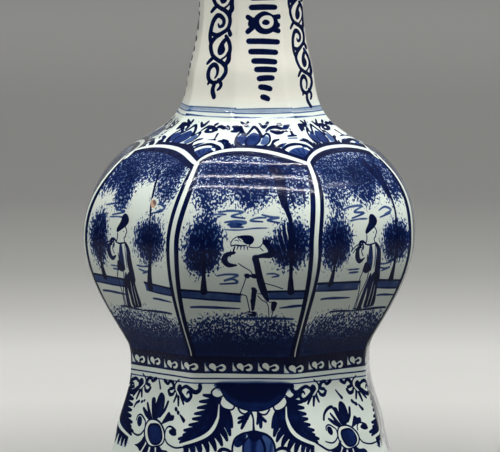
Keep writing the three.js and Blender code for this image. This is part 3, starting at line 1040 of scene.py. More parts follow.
def leftFoliage():
    return [
        *sponges((0, 186, 34, 16, 0.8, 0.35), (0, 185, 30, 9, 0.5, 0.8), (-8.6, 169, 8.4, 12.8, 0.88, 0.5),
                 (-3.6, 163.4, 4.6, 6.2, 0.6, 0.8), (-16, 175.6, 10, 10.6, 0.8, 0.6),
                 (-24, 174.4, 8, 11.6, 0.74, 0.5), (18.6, 174, 10.4, 12, 0.8, 0.45),
                 (23.6, 168, 6.6, 8, 0.62, 0.6)),
        *[brush([(x, 176), (x + 0.8, 171), (x + 1.6, 166.6)], [0.4, 1.0, 0.4], [0.5, 0.8, 0.7])
          for x in (-26, -22.4, -19)],
        *dabs((1.2, 172.2), (-0.8, 168.6), (3.4, 175), (15.6, 160.6), (18.4, 161.8), (21.6, 160.2)),
    ]


def upperFoliage():
    return [
        *sponges((0, 186, 34, 16, 0.58, 0.35), (-19, 172, 12, 17, 0.72, 0.5), (-24, 176, 8, 14, 0.56, 0.5),
                 (20, 176, 10.6, 15, 0.74, 0.45), (0.5, 172.5, 14, 14.5, 0.88, 0.5),
                 (-9, 180, 14, 12, 0.6, 0.6), (10, 178, 12, 12, 0.68, 0.6), (0, 184, 30, 9, 0.3, 0.8),
                 (18, 165.5, 6, 6.6, 0.5, 0.8), (-21, 162.5, 7, 7, 0.42, 0.8), (25, 170, 6.4, 11, 0.6, 0.6)),
        fill([(5, 184), (12, 184), (17.4, 172), (18.6, 164), (16.2, 165), (12.8, 173)], 0.94, 0.8, False),
        brush([(18.4, 173), (20.6, 167), (22.4, 163.5)], [0.9, 1.1, 0.5], 0.9),
        brush([(24.6, 173), (26.4, 167.5), (27, 164.5)], [1.0, 0.8, 0.3], 0.9),
        *dabs((-13.2, 166.4), (-11, 168.6), (-8.8, 165.2), (-6.6, 170), (-0.6, 166.8), (1.4, 164.2),
              (5.6, 164.4), (9.4, 167.6), (11.6, 168), (13.6, 166)),
    ]


# The same figure, further to the left and more upright
def leaning(strokes):
    drawn = []
    for stroke in strokes:
        points = stroke["points"].copy()
        points[:, 0] -= np.interp(points[:, 1], [111, 130, 145], [12.5, 5.7, 4.2])
        drawn.append({**stroke, "points": points})
    return drawn


def meadow():
    return [
        *sponges((0, 99, 36, 14.4, 0.6, 0.3), (-16, 103.6, 17, 8.6, 0.46, 0.6), (17, 103, 15, 8, 0.46, 0.6),
                 (0, 94, 36, 12.5, 0.58, 0.5), (0, 90, 36, 11, 0.5, 0.4)),
        fill([(-28, 98), (-12, 99.5), (4, 97.5), (16, 99), (28, 98), (28, 84), (-28, 84)], 0.74, 8, False),
    ]


def paintScenes():
    for k, turn in enumerate(faceTurns):
        left = k % 4 == 3
        lay(leftFoliage() if left else upperFoliage(), turn)
        if k % 2 == 0:
            lay(dancerPanel(), turn)
        else:
            lay(courtierTrees(left) + courtierGarden(left), turn)
            lay(leaning(courtier()) if left else courtier(), turn)
        lay(meadow(), turn)
    # the shoulder above the arches is wiped clean before the lines are drawn
    wipedFrom = panel["wipedFrom"]
    corners = [(halfFace(wipedFrom), wipedFrom), (-halfFace(wipedFrom), wipedFrom)]
    for k, turn in enumerate(faceTurns):
        outside = np.concatenate([archPoints(0.0, k in arch["leaning"]), corners])
        lay([wiped(fill(outside, rounded=False))], turn)


def paintFrames():
    for k, turn in enumerate(faceTurns):
        for shift, width in ((-1.2, arch["darkBelow"]), (1.15, arch["darkAbove"])):
            points = archPoints(shift, k in arch["leaning"])
            lay([brush(points, width, arch["ink"], spacing=3)], turn)
    heights = np.linspace(arch["rib"] - 1.4, 84.5, 15)
    for turn in ribTurns:
        lay([brush([(0, z) for z in heights],
                   [4.2, 6.2, 6.7, 6.7, 6.5, 6.3, 6.2, 6.0, 5.6, 5.2, 4.6, 4.4, 4.3, 4.2, 4.0], 0.95)], turn)
        lay(fan(), turn)
    for k, turn in enumerate(faceTurns):
        lay([wiped(brush(archPoints(0.0, k in arch["leaning"]), arch["white"], spacing=3))], turn)
    for turn in ribTurns:
        lay([wiped(brush([(0, z) for z in np.linspace(arch["rib"] + 0.2, waist["high"], 14)],
                         [1.9, 2.2, 2.3, 2.3, 2.2, 2.2, 2.3, 2.1, 1.7, 1.2, 0.8, 0.7, 0.7, 0.6]))], turn)


# The shoulder border: a lotus over each arch, a fan over each rib and squiggles between them
shoulder = {
    "ink": 0.96,
    "fanInk": 0.94,
    "lotusTurn": -4.6,
    "lotusZ": 194.0,
    "lineTurn": 2.6,
    "squiggleTurn": -5.6,
    "squiggleZ": 198.5,
    "lineSteps": (0.0, -0.25, 0.2, -0.1, 0.25, -0.2, 0.1, 0.3),
}


def lotus():
    ink = shoulder["ink"]
    return [
        fill([(-9.6, -2.9), (-5, -2.6), (0, -2.4), (6, -2.6), (11, -3), (11, -4.6), (-9.6, -4.6)], 0.92),
        fill([(-6.6, -1.5), (-4, -1.3), (3, -1.3), (7.6, -1.6), (6, -2.9), (-4.6, -2.9)], 0.1, 0.5),
        fill([(-8.7, 0.8), (-6.8, 2.3), (-4.5, 1.5), (-3.8, -1), (-5.2, -2.2), (-7.8, -1.6)], 0.62, 0.5),
        fill([(3.8, 0.4), (5.2, 1.6), (6.9, 0.7), (7.4, -1.2), (5.8, -2.2), (3.8, -1.6)], 0.42, 0.5),
        fill([(-4, 1.4), (-1.2, 3.1), (2.3, 1.6), (3.1, -0.6), (1.5, -2.6), (-2.6, -2.6),
              (-4.2, -0.9)], 0.66, 0.4),
        fill([(-0.8, 1.2), (0.5, 1.1), (1, 0), (0.1, -0.8), (-0.9, 0.1)], 0.3, 1.0),
        brush([(-3.4, 1.2), (-4, -0.6), (-2.8, -2.2), (-0.6, -2.9), (1.6, -2.3), (2.9, -0.6), (2.4, 1.1)],
              [0.5, 0.8, 0.9, 0.8, 0.9, 0.8, 0.5], 0.88, 0.4),
        brush([(-7, 3.9), (-8.4, 2.6), (-9.2, 0.4), (-7.6, -1.5), (-4.6, -2.8), (-2, -3.2)],
              [1.2, 1.0, 1.0, 1.0, 0.9, 0.8], ink),
        brush([(-7, 3.9), (-4.9, 2.1), (-3.1, 3.9), (-1.2, 5.7), (0.9, 3.9), (3.4, 1.2), (4.9, 2.6)],
              [1.3, 1.2, 1.2, 1.3, 1.3, 1.3, 0.9], ink),
        brush([(4.9, 2.6), (6.4, 2.2), (7.7, 0.3), (7.9, -1.5), (6, -2.8), (2.6, -3.2)],
              [0.9, 0.9, 1.0, 0.9, 0.8, 0.8], ink),
        # tufts on both sides
        fill([(-12.6, -3.8), (-12.4, -1.9), (-11.2, -1.2), (-10.3, -2.1), (-9.4, -1.5), (-8.8, -2.6),
              (-7.8, -2.4), (-7.2, -3.9)], 0.92),
        fill([(-19, -3.4), (-18.6, -1.4), (-16.9, -0.6), (-14.8, -1), (-13.4, -2.6), (-13.2, -4.2),
              (-16, -4.6)], 0.6, 0.3),
        brush([(-18.8, -1.6), (-17, -0.5), (-14.8, -0.9), (-13.2, -3)], [0.5, 0.8, 0.9, 1.0], ink),
        fill([(8.6, -3.8), (8.8, -2.6), (10.2, -1.7), (11.4, -2.4), (12.5, -2.3), (13.2, -1.4), (15.4, -1.1),
              (14.8, -3.6)], 0.92),
        brush([(15.6, -2.8), (17, -1.2)], [1.4, 0.8], 0.6, 0.4),
        # two ticks above
        brush([(-7.4, 7.9), (-5, 6.3), (-4.2, 7.8)], [1.0, 1.6, 1.3], ink),
        brush([(1.6, 7), (3.6, 5.5), (5.6, 7.6)], [1.0, 1.7, 1.3], ink),
    ]


def fan():
    ink = shoulder["fanInk"]
    return [
        # the dark notch between two arches
        fill([(-20.6, 190.1), (-17, 191.1), (-13.6, 190.9), (-9.8, 189.6), (-6.8, 187.8),
              (-3.4, 186), (-1, 184.6), (1.6, 185.6), (5, 187.6), (7, 189), (4, 186), (-1, 182.8), (-6, 185),
              (-14, 188)], 0.92),
        # the spread fan, its highlight and the lines over it
        fill([(-7.8, 188.5), (-5, 190.1), (-1.6, 190.5), (1.6, 189.7), (4, 188), (2, 186.8), (-1, 185.6),
              (-4.2, 187)], 0.54, 0.4),
        *[brush([(-0.8, 186.4), (-6 + 2.5 * k, 189 + 0.5 * k)], [0.5, 0.8], 0.72, 0.6) for k in range(3)],
        brush([(0.6, 187), (3, 188)], [0.8, 1.2], 0.82, 0.4),
        wiped(brush([(-0.4, 190.2), (1, 189.9), (2.2, 189.2)], [0.4, 0.9, 0.5])),
        brush([(-10.8, 189.5), (-7.8, 191.2), (-4.4, 191.9), (-1.4, 191.8), (1.4, 190.9), (4, 189.2)],
              [1.3, 1.2, 1.2, 1.1, 1.1, 1.3], ink),
        wiped(brush([(-13.4, 191.2), (-10.8, 192.5), (-6.6, 193.1), (-2.2, 192.9), (1.8, 191.9),
                     (4.8, 190.2)], [0.6, 1.0, 1.1, 1.1, 1.0, 0.7])),
        brush([(-15.8, 191.4), (-14, 193.2), (-11, 194)], [1.0, 1.2, 0.6], ink),
        brush([(0.4, 194.1), (3.3, 193.1), (5.2, 191)], [0.6, 1.2, 1.4], ink),
        brush([(6.6, 193.4), (9.4, 191.6)], [0.5, 1.1], 0.9),
    ]


def squiggles(first):
    ink = shoulder["ink"]
    if first:
        return [
            brush([(-11.8, -2.2), (-11.2, -0.8), (-9.5, 0.4), (-7.3, 1), (-4.5, 0.5), (-2.2, -0.4)],
                  [0.8, 0.9, 1.2, 1.4, 1.4, 1.2], ink),
            fill([(-9.2, -0.8), (-7.6, 0.5), (-5, 0.5), (-2.4, -0.5), (-3.4, -1.6), (-6.4, -2),
                  (-8.8, -1.7)], 0.94),
            wiped(brush([(-6.3, -0.6), (-5.3, -0.6)], 0.7)),
            brush([(-4.5, 1.8), (-2.8, 2.6)], [1.2, 1.1], ink),
            brush([(-2.6, 0.9), (-0.8, 1.3), (1.2, 0.7), (2.6, 1.2), (4, 0.3)],
                  [1.0, 1.7, 1.5, 1.9, 1.2], ink),
            fill([(4.7, 1.6), (6.8, 2), (8.9, 1.5), (10.2, 0.2), (9, -1.2), (6, -1.2), (5.2, -0.5),
                  (6.2, 0.1)], ink),
            brush([(8.9, 1), (10.4, -0.4), (12.2, -2)], [1.7, 1.4, 0.9], ink),
            brush([(-2.7, -5.1), (-0.4, -4.9), (1.4, -4.7)], [0.8, 1.1, 0.8], ink),
            brush([(0.6, -4.5), (0.2, -3.4), (-0.3, -2.2)], [0.6, 0.9, 1.2], ink),
        ]
    return [
        brush([(-11.8, -0.9), (-9.7, 0.4), (-6.8, 1), (-4.5, 0.6), (-2.5, -0.4), (-1.3, -0.8)],
              [0.8, 1.1, 1.5, 1.5, 1.6, 1.0], ink),
        brush([(-9.1, -0.8), (-6.8, -1.4), (-4.3, -1.3), (-2.8, -0.6)], [1.2, 2.0, 1.8, 1.2], ink),
        brush([(-4.6, 2.2), (-2.9, 2.3)], [1.2, 1.3], ink),
        brush([(-1.9, 0.4), (-0.6, 1.4), (0.6, 2.1)], [1.8, 2.1, 1.0], [0.7, 0.94], 0.3),
        fill([(5.2, 2.1), (8, 2.3), (10, 2), (12, 0.6), (12.4, -1.2), (11, -0.8), (10.4, 0.4), (9.2, 0.5),
              (8.8, -1), (7.6, -0.6), (7, -1.2), (5.6, -0.9)], ink),
        brush([(0.5, 0), (0.8, -2.6)], [0.8, 1.3], ink),
        brush([(-1.5, -3.1), (0.8, -2.9), (2.3, -2.9)], [0.7, 0.9, 0.6], 0.86, 0.3),
        brush([(-1.5, -4.1), (0.6, -4), (2.4, -4)], 0.5, 0.5, 0.4),
    ]


def paintShoulder():
    for turn in faceTurns:
        lay(lotus(), turn + shoulder["lotusTurn"], 0, shoulder["lotusZ"])
    for k, turn in enumerate(ribTurns):
        lay(squiggles(k % 2 == 1), turn + shoulder["squiggleTurn"], 0, shoulder["squiggleZ"])
    # the lines are drawn flat by flat, and do not quite meet at the ribs
    for turn, lift in zip(faceTurns, shoulder["lineSteps"]):
        left, right = -halfFace(207) * 1.02, halfFace(207) * 0.98
        lay([
            fill([(left, 206.5 + lift), (right, 206.3 + lift), (right, 208.3 + lift), (left, 208.2 + lift)],
                 0.24, 0.5, False),
            brush([(left, 208.1 + lift), (0, 208.2 + lift), (right, 208.3 + lift)],
                  [0.5, 0.3, 0.5], 0.36, 0.4),
            brush([(left, 206.1 + lift), (0, 205.9 + lift), (right, 206.1 + lift)],
                  [0.7, 0.5, 0.6], 0.4, 0.4),
            brush([(left * 1.03, 204.2 + lift), (0, 203.8 + lift), (right * 1.04, 204 + lift)],
                  [1.0, 0.5, 0.6], [0.62, 0.3, 0.46], 0.4),
        ], turn + shoulder["lineTurn"])


# The neck: bars and an eye on every other flat, a chain of scrolls between them
neck = {
    "ink": 0.96,
    "eyeInk": 0.97,
    "barWidth": 2.75,
    "pairRise": 25.3,
    "shifts": (0, 2.2, 0, 0, -5, -9, -14, 0),
}


def barColumn():
    ink = neck["ink"]
    drawn = []
    for left, right, z, lean in ((-4.6, 9.2, 257.7, 0), (-6.2, 10.3, 240.9, -0.5), (-5.3, 9.2, 235.8, -0.5),
                                 (-4, 8.6, 231.2, -0.5), (-2.7, 8.4, 227.2, -0.2), (-1.5, 7, 223, 0.3),
                                 (-0.9, 5.8, 218.3, -0.9), (0, 4.5, 213.4, -0.9)):
        points = [(left + 1, z - lean / 2), ((left + right) / 2, z + 0.15), (right - 1, z + lean / 2)]
        width = neck["barWidth"]
        drawn.append(brush(points, [width, width * 1.04, width * 0.94], ink))
    drawn += eye()
    return drawn


def eye():
    ink = neck["eyeInk"]
    return [
        fill([(-3, 250.4), (-1.4, 253.8), (2.4, 255.8), (6, 254.7), (8.8, 252.6), (9.8, 250), (8.6, 246.9),
              (5, 244.7), (1, 244.8), (-1.8, 246.8)], ink),
        fill([(-5.4, 250.2), (-4.2, 252.4), (-1.4, 252.4), (-1, 248), (-3.6, 247.4), (-5.2, 248.6)], ink),
        brush([(-5.4, 253), (-3.4, 251.6)], 2.5, ink),
        brush([(-5.6, 245.8), (-3.4, 247.6)], 2.5, ink),
        brush([(7.6, 252.8), (10.2, 253.1)], [2.4, 2.5], ink),
        brush([(7.4, 246.8), (9.8, 246.1)], [2.4, 2.6], ink),
        brush([(8.6, 249), (9.6, 248.9)], 2.6, ink),
        wiped(fill([(0.2, 250.6), (1.2, 252.7), (3.8, 253.8), (6.4, 253.2), (7.5, 251), (6.9, 248.6),
                    (4.4, 247.2), (1.6, 247.8)])),
        fill([(1.6, 250.4), (3, 251.7), (5, 251.2), (5.5, 250), (4.2, 249), (2.2, 249.3)], ink),
    ]


def upperBars():
    # above the photograph the column is taken to go on in the same way
    return [brush([(-half + 2.4, z), (half + 2.4, z + 0.2)], neck["barWidth"], neck["ink"])
            for half, z in ((5.6, 262.4), (5, 267), (4.4, 271.6), (3.7, 276), (2.9, 280.3), (1.9, 284.3))]


# Two turns of the chain: the stem swings right and left, and a tendril rolls up in each bend
def scrollPair():
    ink = neck["ink"]
    return [
        brush([(1.3, 257), (5.2, 254.6), (6.7, 251.1), (5.6, 247.2), (2.1, 244.8), (-1.9, 242.4),
               (-4.1, 239.4), (-3.7, 236.5), (-2, 233.6), (1.4, 231.6), (4.1, 230.6), (6.9, 228.7)],
              [2.0, 2.4, 2.3, 2.2, 2.0, 2.2, 2.4, 2.5, 2.2, 2.1, 2.2, 2.4], ink),
        brush([(-3.9, 238.5), (-5.1, 242.4), (-4.9, 246.3), (-3.9, 250.2),
               (-1.6, 253.2), (0.9, 253.1), (2.9, 251.1), (2.4, 248.7), (0.2, 247.9), (-0.4, 249.1)],
              [1.6, 2.2, 2.5, 2.4, 2.4, 2.5, 2.4, 2.2, 1.8, 1.2], ink),
        brush([(-4.1, 244.3), (-0.9, 243.8), (2.7, 245.3)], [2.2, 1.9, 1.6], ink),
        brush([(4.8, 243.4), (7.1, 240.4), (8.1, 237.5), (7.9, 234.5), (8, 231.6), (6.4, 229.7)],
              [2.0, 2.3, 2.3, 2.6, 3.0, 2.2], ink),
        fill([(4.3, 242.6), (1.7, 240.1), (0.4, 236.6), (1.5, 234.1), (4, 234.6), (5.2, 236.9), (4.2, 239.2),
              (5.3, 241)], ink),
        brush([(3.3, 231.8), (5.8, 233.5), (7.1, 235.5)], [1.2, 1.0, 1.2], ink),
        brush([(6.2, 246.6), (7.3, 244.4)], [2.0, 2.6], ink),
        brush([(-4.8, 229.7), (-2.9, 231.6), (-1.4, 232.8)], [1.5, 2.0, 1.8], ink),
    ]


def scrollEnd():
    ink = neck["ink"]
    return [
        brush([(6.9, 228.7), (7.4, 225.8), (5.4, 222.8), (3.6, 221.4)], [2.4, 2.4, 2.2, 1.8], ink),
        brush([(2.6, 220.9), (0.1, 220.4), (-2.6, 221.9), (-3.4, 224.8),
               (-2.6, 227.7), (-0.4, 229.3), (1.7, 228.2), (2.4, 225.8), (1.8, 223.8), (1, 222.8)],
              [1.8, 2.0, 2.3, 2.5, 2.3, 2.4, 2.4, 2.1, 1.5, 0.9], ink),
        brush([(-3, 219.7), (-2, 221.4)], [1.3, 1.6], ink),
        brush([(3.4, 221.9), (5.2, 219.9), (4.5, 218), (3.2, 217)], [2.0, 2.2, 1.7, 1.0], ink),
        brush([(1.6, 220.9), (0.4, 218), (0.4, 216), (1.6, 213.6)], [1.6, 2.3, 2.8, 2.6], ink),
    ]


def scrollChain():
    ink = neck["ink"]
    return [*scrollPair(), *scrollEnd(), *moved(scrollPair(), -0.5, neck["pairRise"]),
            brush([(0.8, 282.3), (-1.6, 284.4), (-0.4, 286.6), (1.4, 286.2)], [2.0, 1.9, 1.6, 1.2], ink),
            brush([(1.2, 282), (3.2, 284), (3, 285.4)], [1.6, 1.4, 1.0], ink)]


def paintNeck():
    for k, turn in enumerate(faceTurns):
        shift = neck["shifts"][k]
        if k % 2 == 0:
            lay(barColumn() + upperBars(), turn, shift)
        elif k % 4 == 1:
            lay(scrollChain(), turn, shift, 9.8, 0.93)
        else:
            lay(scrollChain(), turn, shift)


# The head is above the photograph's edge. It gets plain leaves, bars and lines in the same hand.
def paintHead():
    for turn in faceTurns:
        lay([
            brush([(-9.4, 300.5), (-7.2, 309), (0, 321.5), (7.2, 309), (9.4, 300.5)],
                  [1.2, 1.1, 0.9, 1.1, 1.2], 0.94),
            fill([(-4.6, 301.5), (-4.4, 308), (0, 316.5), (4.4, 308), (4.6, 301.5)], 0.5, 0.4),
            brush([(0, 302), (0.2, 308), (0, 313.6)], [2.6, 1.8, 0.6], 0.93),
            brush([(-4.6, 301.8), (-4.2, 308), (0, 316.6), (4.2, 308), (4.6, 301.8)], 0.7, 0.92),
        ], turn)
    for turn in ribTurns:
        lay([brush([(0, 322), (0, 315)], [1.0, 2.2], 0.92), brush([(-2, 312.5), (2, 312.5)], 1.3, 0.92),
             brush([(-1.3, 309.5), (1.3, 309.5)], 1.2, 0.9)], turn)
    lay([band(297.2, 298.6, 0.42, 0.4, 0.2, 8), band(295.4, 295.9, 0.55, 0.3, 0.2, 9),
         band(324.6, 325.2, 0.6, 0.3, 0.15, 10), band(327, 329.4, 0.86, 0.3, 0.15, 11),
         band(333.6, 334.2, 0.5, 0.3, 0.1, 12), band(341, 343.4, 0.86, 0.3, 0.1, 13)])


# The waist border: white drops and curls left out of a dark band, with three lines below
waist = {"motifs": 29, "phase": -0.15, "middle": 83.4, "low": 79.9, "high": 88.4}


def dropAndCurl():
    return [
        wiped(fill([(-1.9, 0.6), (-1.2, 1.7), (0.3, 2.1), (1.7, 1.1), (2.2, -0.3), (1.8, -2.6), (0.2, -1.6),
                    (-1.4, -0.8)])),
        wiped(brush([(1.8, -0.3), (3.7, 0.5), (5.3, 1.1), (6.7, 0.1), (6.6, -1.3), (5.2, -2), (4, -1.9)],
                    [0.6, 0.7, 0.9, 1.5, 1.7, 1.6, 1.0])),
        wiped(fill([(-4.7, 2.4), (-4, 2.2), (-3.7, 0.3), (-2.4, -1.6), (-1, -2.8), (-4.4, -2.8),
                    (-4.5, -0.4)], 0.95, 0.2, False)),
    ]


def paintWaist():
    lay([wiped(band(60, waist["low"], 1.0)), band(waist["low"], waist["high"], 0.9, 0.3, 0.15, 4)])
    for k in range(waist["motifs"]):
        lay(dropAndCurl(), 360 / waist["motifs"] * (k + waist["phase"]), 0, waist["middle"], 0.83, loose=0.3)
    lay([band(77.1, 77.8, 0.74, 0.3, 0.2, 6), band(74.7, 75.3, 0.6, 0.3, 0.2, 7)])


# The foot: a hanging half flower, feathers and a round flower on one side, sprigs on the next
foot = {"shift": 5.6, "ink": 0.94, "petalEdge": 0.85}


def feather():
    # curls down and away from the half flower; its midrib is left white between two rows of blades
    ink = foot["ink"]
    outer = [((-19.4, 68.4), (-25, 69.2)), ((-20.6, 66.4), (-26.8, 66.1)), ((-22, 63.8), (-27.8, 63.1)),
             ((-24, 60.8), (-29.2, 60.3)), ((-25, 58), (-30.2, 57.8)), ((-26.4, 55.4), (-32, 54.9)),
             ((-29, 52.8), (-35.2, 52.2)), ((-31.6, 50.6), (-35.6, 50)), ((-33, 48.8), (-39.2, 47.8)),
             ((-33.4, 47.8), (-38, 46.2))]
    inner = [((-13.7, 62.4), (-10.7, 54.2)), ((-14.3, 57), (-11.6, 50.4)), ((-16, 53), (-13, 47.8)),
             ((-18.4, 50.8), (-15.5, 45.4)), ((-21.3, 49), (-18.6, 42.9)), ((-24.2, 47.6), (-22.4, 41.6)),
             ((-27.5, 46), (-26.4, 41)), ((-30.6, 44.8), (-30, 40.4)), ((-33.8, 44), (-34.2, 40.4))]
    rib = [(-17.3, 64.8), (-17.5, 60.3), (-17.9, 57.9), (-19.6, 54.1), (-22, 51.2), (-25.5, 49), (-30, 47.2),
           (-34, 46), (-39, 44.6)]
    drawn = [fill([(-18.9, 69.4), (-20.9, 67.3), (-22, 64.9), (-24, 61.9), (-25.3, 59), (-26, 56.6),
                   (-27.9, 54), (-31.3, 51.6), (-33.7, 49.6), (-36, 47.2), (-34, 45), (-31.5, 44),
                   (-26.4, 45.4), (-22.4, 47), (-19, 48.8), (-16.1, 51.3), (-13.9, 55), (-12.7, 59.5),
                   (-12.4, 63), (-13.6, 64.4), (-16.2, 64.9), (-16.2, 68.6)], ink, 0.2, False)]
    drawn += [brush([start, end], [3.0, 2.2, 1.3], ink) for start, end in outer]
    for start, end in inner:
        middle = (start[0] + end[0]) / 2 + 0.4, (start[1] + end[1]) / 2
        drawn.append(brush([start, middle, end], [3.4, 2.8, 1.3], ink))
    drawn.append(wiped(brush(rib, [0.5, 0.9, 1.5, 1.9, 1.9, 1.7, 1.5, 1.4, 1.4])))
    return drawn


def petal(points):
    return [wiped(fill(points)), brush(points, foot["petalEdge"], foot["ink"])]


def halfFlower():
    ink = foot["ink"]
    petals = [
        [(-17, 73.2), (-19, 72.8), (-20.9, 71.3), (-21.1, 69.8), (-19.9, 68.4), (-17.6, 68), (-15.4, 69)],
        [(-16.2, 68), (-16.9, 65.3), (-15.3, 63.2), (-12.3, 62.3), (-10.2, 62.8), (-9.6, 64.6)],
        [(-8, 63.8), (-6.8, 61.4), (-4.4, 60.4), (-2.4, 61.8)],
        [(1.4, 61.8), (3.6, 60.3), (6, 60.4), (7.6, 62.6)],
        [(9.4, 64.4), (10.2, 62.4), (12.4, 62.2), (15, 63.6), (16.4, 66), (15.6, 68.4)],
        [(15.6, 69.2), (17.4, 68), (19.4, 68.8), (20.2, 70.6), (18.8, 72.6), (16.6, 73.4)],
    ]
    drawn = [stroke for points in petals for stroke in petal(points)]
    outline = [(-17.6, 74.9), (-16.8, 72.8), (-15.4, 69.9), (-13.9, 67.5), (-11.4, 65.6),
               (-8.7, 64), (-4, 62.4), (0, 61.9), (5, 62.4), (9.2, 64.2), (12.4, 66.4), (14.8, 69.2),
               (16.2, 72.4), (16.8, 74.9)]
    drawn += [
        fill(outline, 0.8, 0.3),
        fill([(-16.8, 74.9), (-14, 70.8), (-8, 67.6), (0, 66.4), (8, 67), (13.4, 70.4),
              (16.2, 74.9)], 0.97, 3.4),
        brush([(-6, 64.6), (0, 63.4), (7, 64.4)], [0.8, 1.8, 0.8], 0.54, 0.9),
        brush([(11.4, 67), (13, 68.4), (14.2, 70.6)], [0.6, 1.4, 0.6], 0.54, 0.9),
        brush(outline, 0.7, 0.97),
        brush([(-1.6, 61.6), (-0.4, 58.6), (-0.1, 55), (0.1, 51.8)], [1.2, 0.8, 1.0, 1.5], ink),
        # two leaves beside the stem
        brush([(-2.2, 60.6), (-3.8, 58.4), (-5.9, 53.7)], [1.2, 2.2, 1.4], ink),
        brush([(-3, 59.6), (-7.4, 58.4)], [1.8, 1.4], ink),
        brush([(-3.4, 58.4), (-7.4, 56.3)], [1.8, 1.4], ink),
        brush([(1.9, 60.6), (3, 58.6), (3.5, 54.2)], [1.2, 2.2, 1.4], ink),
        brush([(2.4, 59.8), (5.8, 57)], [1.9, 1.4], ink),
        brush([(2.2, 59), (1.7, 55.8)], [1.6, 1.1], ink),
    ]
    return drawn


def roundFlower():
    ink = foot["ink"]
    outline = [(0, 51.8), (4.6, 51.2), (7.1, 50.1), (9.1, 48.2), (10.4, 45.3), (10.6, 42), (9.6, 38.4),
               (6.8, 35.2), (2, 33.8), (-2, 33.8), (-6.6, 35.2), (-9.5, 38.6), (-10.4, 42.6), (-10, 46.1),
               (-8.9, 48.8), (-6.7, 50.4), (-4.2, 51.4)]
    return [
        wiped(fill(outline)),
        fill([(-3.5, 50.8), (-7, 49.8), (-9.1, 47.4), (-9.3, 45.2), (-7.6, 44.5), (-5.9, 45.3), (-4.4, 47.4)],
             0.84, 0.5),
        fill([(4, 50.6), (7.2, 49.4), (9.4, 46.6), (10, 43.2), (9.2, 39.2), (6.6, 36), (5.2, 38.6), (6, 43),
              (4.9, 46.8)], 0.46, 0.4),
        brush([(8.8, 46.8), (8.4, 43), (7.2, 40)], [0.6, 1.4, 0.8], 0.62, 0.8),
        fill([(-9.2, 39.4), (-6.4, 40.6), (-4.6, 39), (-2.6, 35.6), (-6, 36)], 0.7, 0.5),
        fill([(0, 50.4), (3.2, 49.2), (4.7, 46.7), (5.5, 43.3), (4.6, 38.8), (2, 35.2), (-1.6, 35.2),
              (-4.2, 38.8), (-4.7, 43.2), (-4.4, 46.4), (-2.7, 49)], 0.56, 0.4),
        brush([(0.2, 50), (0.1, 44), (0, 36.4)], [3.4, 2.2, 1.6], 0.8, 1.6),
        brush([(-2.7, 49.4), (-4.7, 46.6), (-5.1, 43), (-4.4, 38.8), (-1.8, 35)], [0.8, 1.0, 0.8], ink),
        brush([(3.2, 49.8), (4.8, 46.7), (5.7, 43.3), (4.8, 38.8), (2, 35)], [1.4, 1.2, 1.0], ink),
        fill([(-3.4, 51.6), (-0.8, 52.6), (2, 52.4), (4.6, 51.2), (4, 49.6), (2.2, 48), (0.2, 47.2),
              (-2, 48.8)], ink, 0.6),
        brush(outline, [1.4, 1.0, 1.1, 1.0, 1.1], ink, closed=True),
        brush([(-10.6, 41.8), (-13, 43.2), (-15.6, 43.4), (-17, 41.6), (-15.6, 39.8)],
              [1.4, 1.6, 1.8, 2.0, 1.2], ink),
        brush([(11, 43), (13.6, 44.2), (16.6, 43.8), (18, 42)], [1.4, 1.6, 1.8, 1.6], ink),
    ]


def sprig():
    ink = foot["ink"]
    return [
        brush([(-0.7, 6.7), (-3.5, 4.4), (-3.4, 1.5), (-0.9, -0.4)], [0.7, 0.9, 0.9, 0.7], ink),
        fill([(-2.4, 2.6), (-0.1, 4.6), (2, 3), (1.9, 0.6), (1, -0.8), (-0.4, 0.4)], ink),
        brush([(1.6, 2.5), (4.5, 3.9), (7.6, 3), (10.3, 1.6), (12.5, 1.7), (13.6, 3.4), (13.2, 4.6)],
              [1.4, 1.7, 1.8, 2.0, 2.2, 2.4, 2.2], ink),
        brush([(2, 0.4), (3.3, -0.8), (5.2, -2.1), (7.6, -2.6), (9.1, -0.8), (8.3, 1.1), (6.5, 1.4),
               (6, 0.4)], [1.2, 1.8, 2.1, 2.2, 2.0, 1.7, 1.3, 1.0], ink),
        brush([(-1.3, -0.7), (-2.5, -4.2)], [1.7, 1.2], ink),
        brush([(0.1, -1.6), (1.4, -5.6)], [1.8, 1.2], ink),
        brush([(1.8, -0.9), (4.8, -4.5)], [1.8, 1.2], ink),
        brush([(-11.7, 5.2), (-9.2, 3.9), (-7.8, 5.3), (-5.5, 4.7), (-4.7, 2.4), (-7.2, 1.6)],
              [2.0, 1.7, 1.6, 1.9, 1.8, 1.6], ink),
        brush([(-8.1, 0.6), (-6.5, -1.2), (-4.3, -0.8), (-3.3, 1)], [1.6, 1.9, 1.7, 1.1], ink),
        wiped(brush([(-1.8, 4.2), (-2.4, 1.8), (-0.6, -0.4)], [0.5, 0.8, 0.5])),
    ]


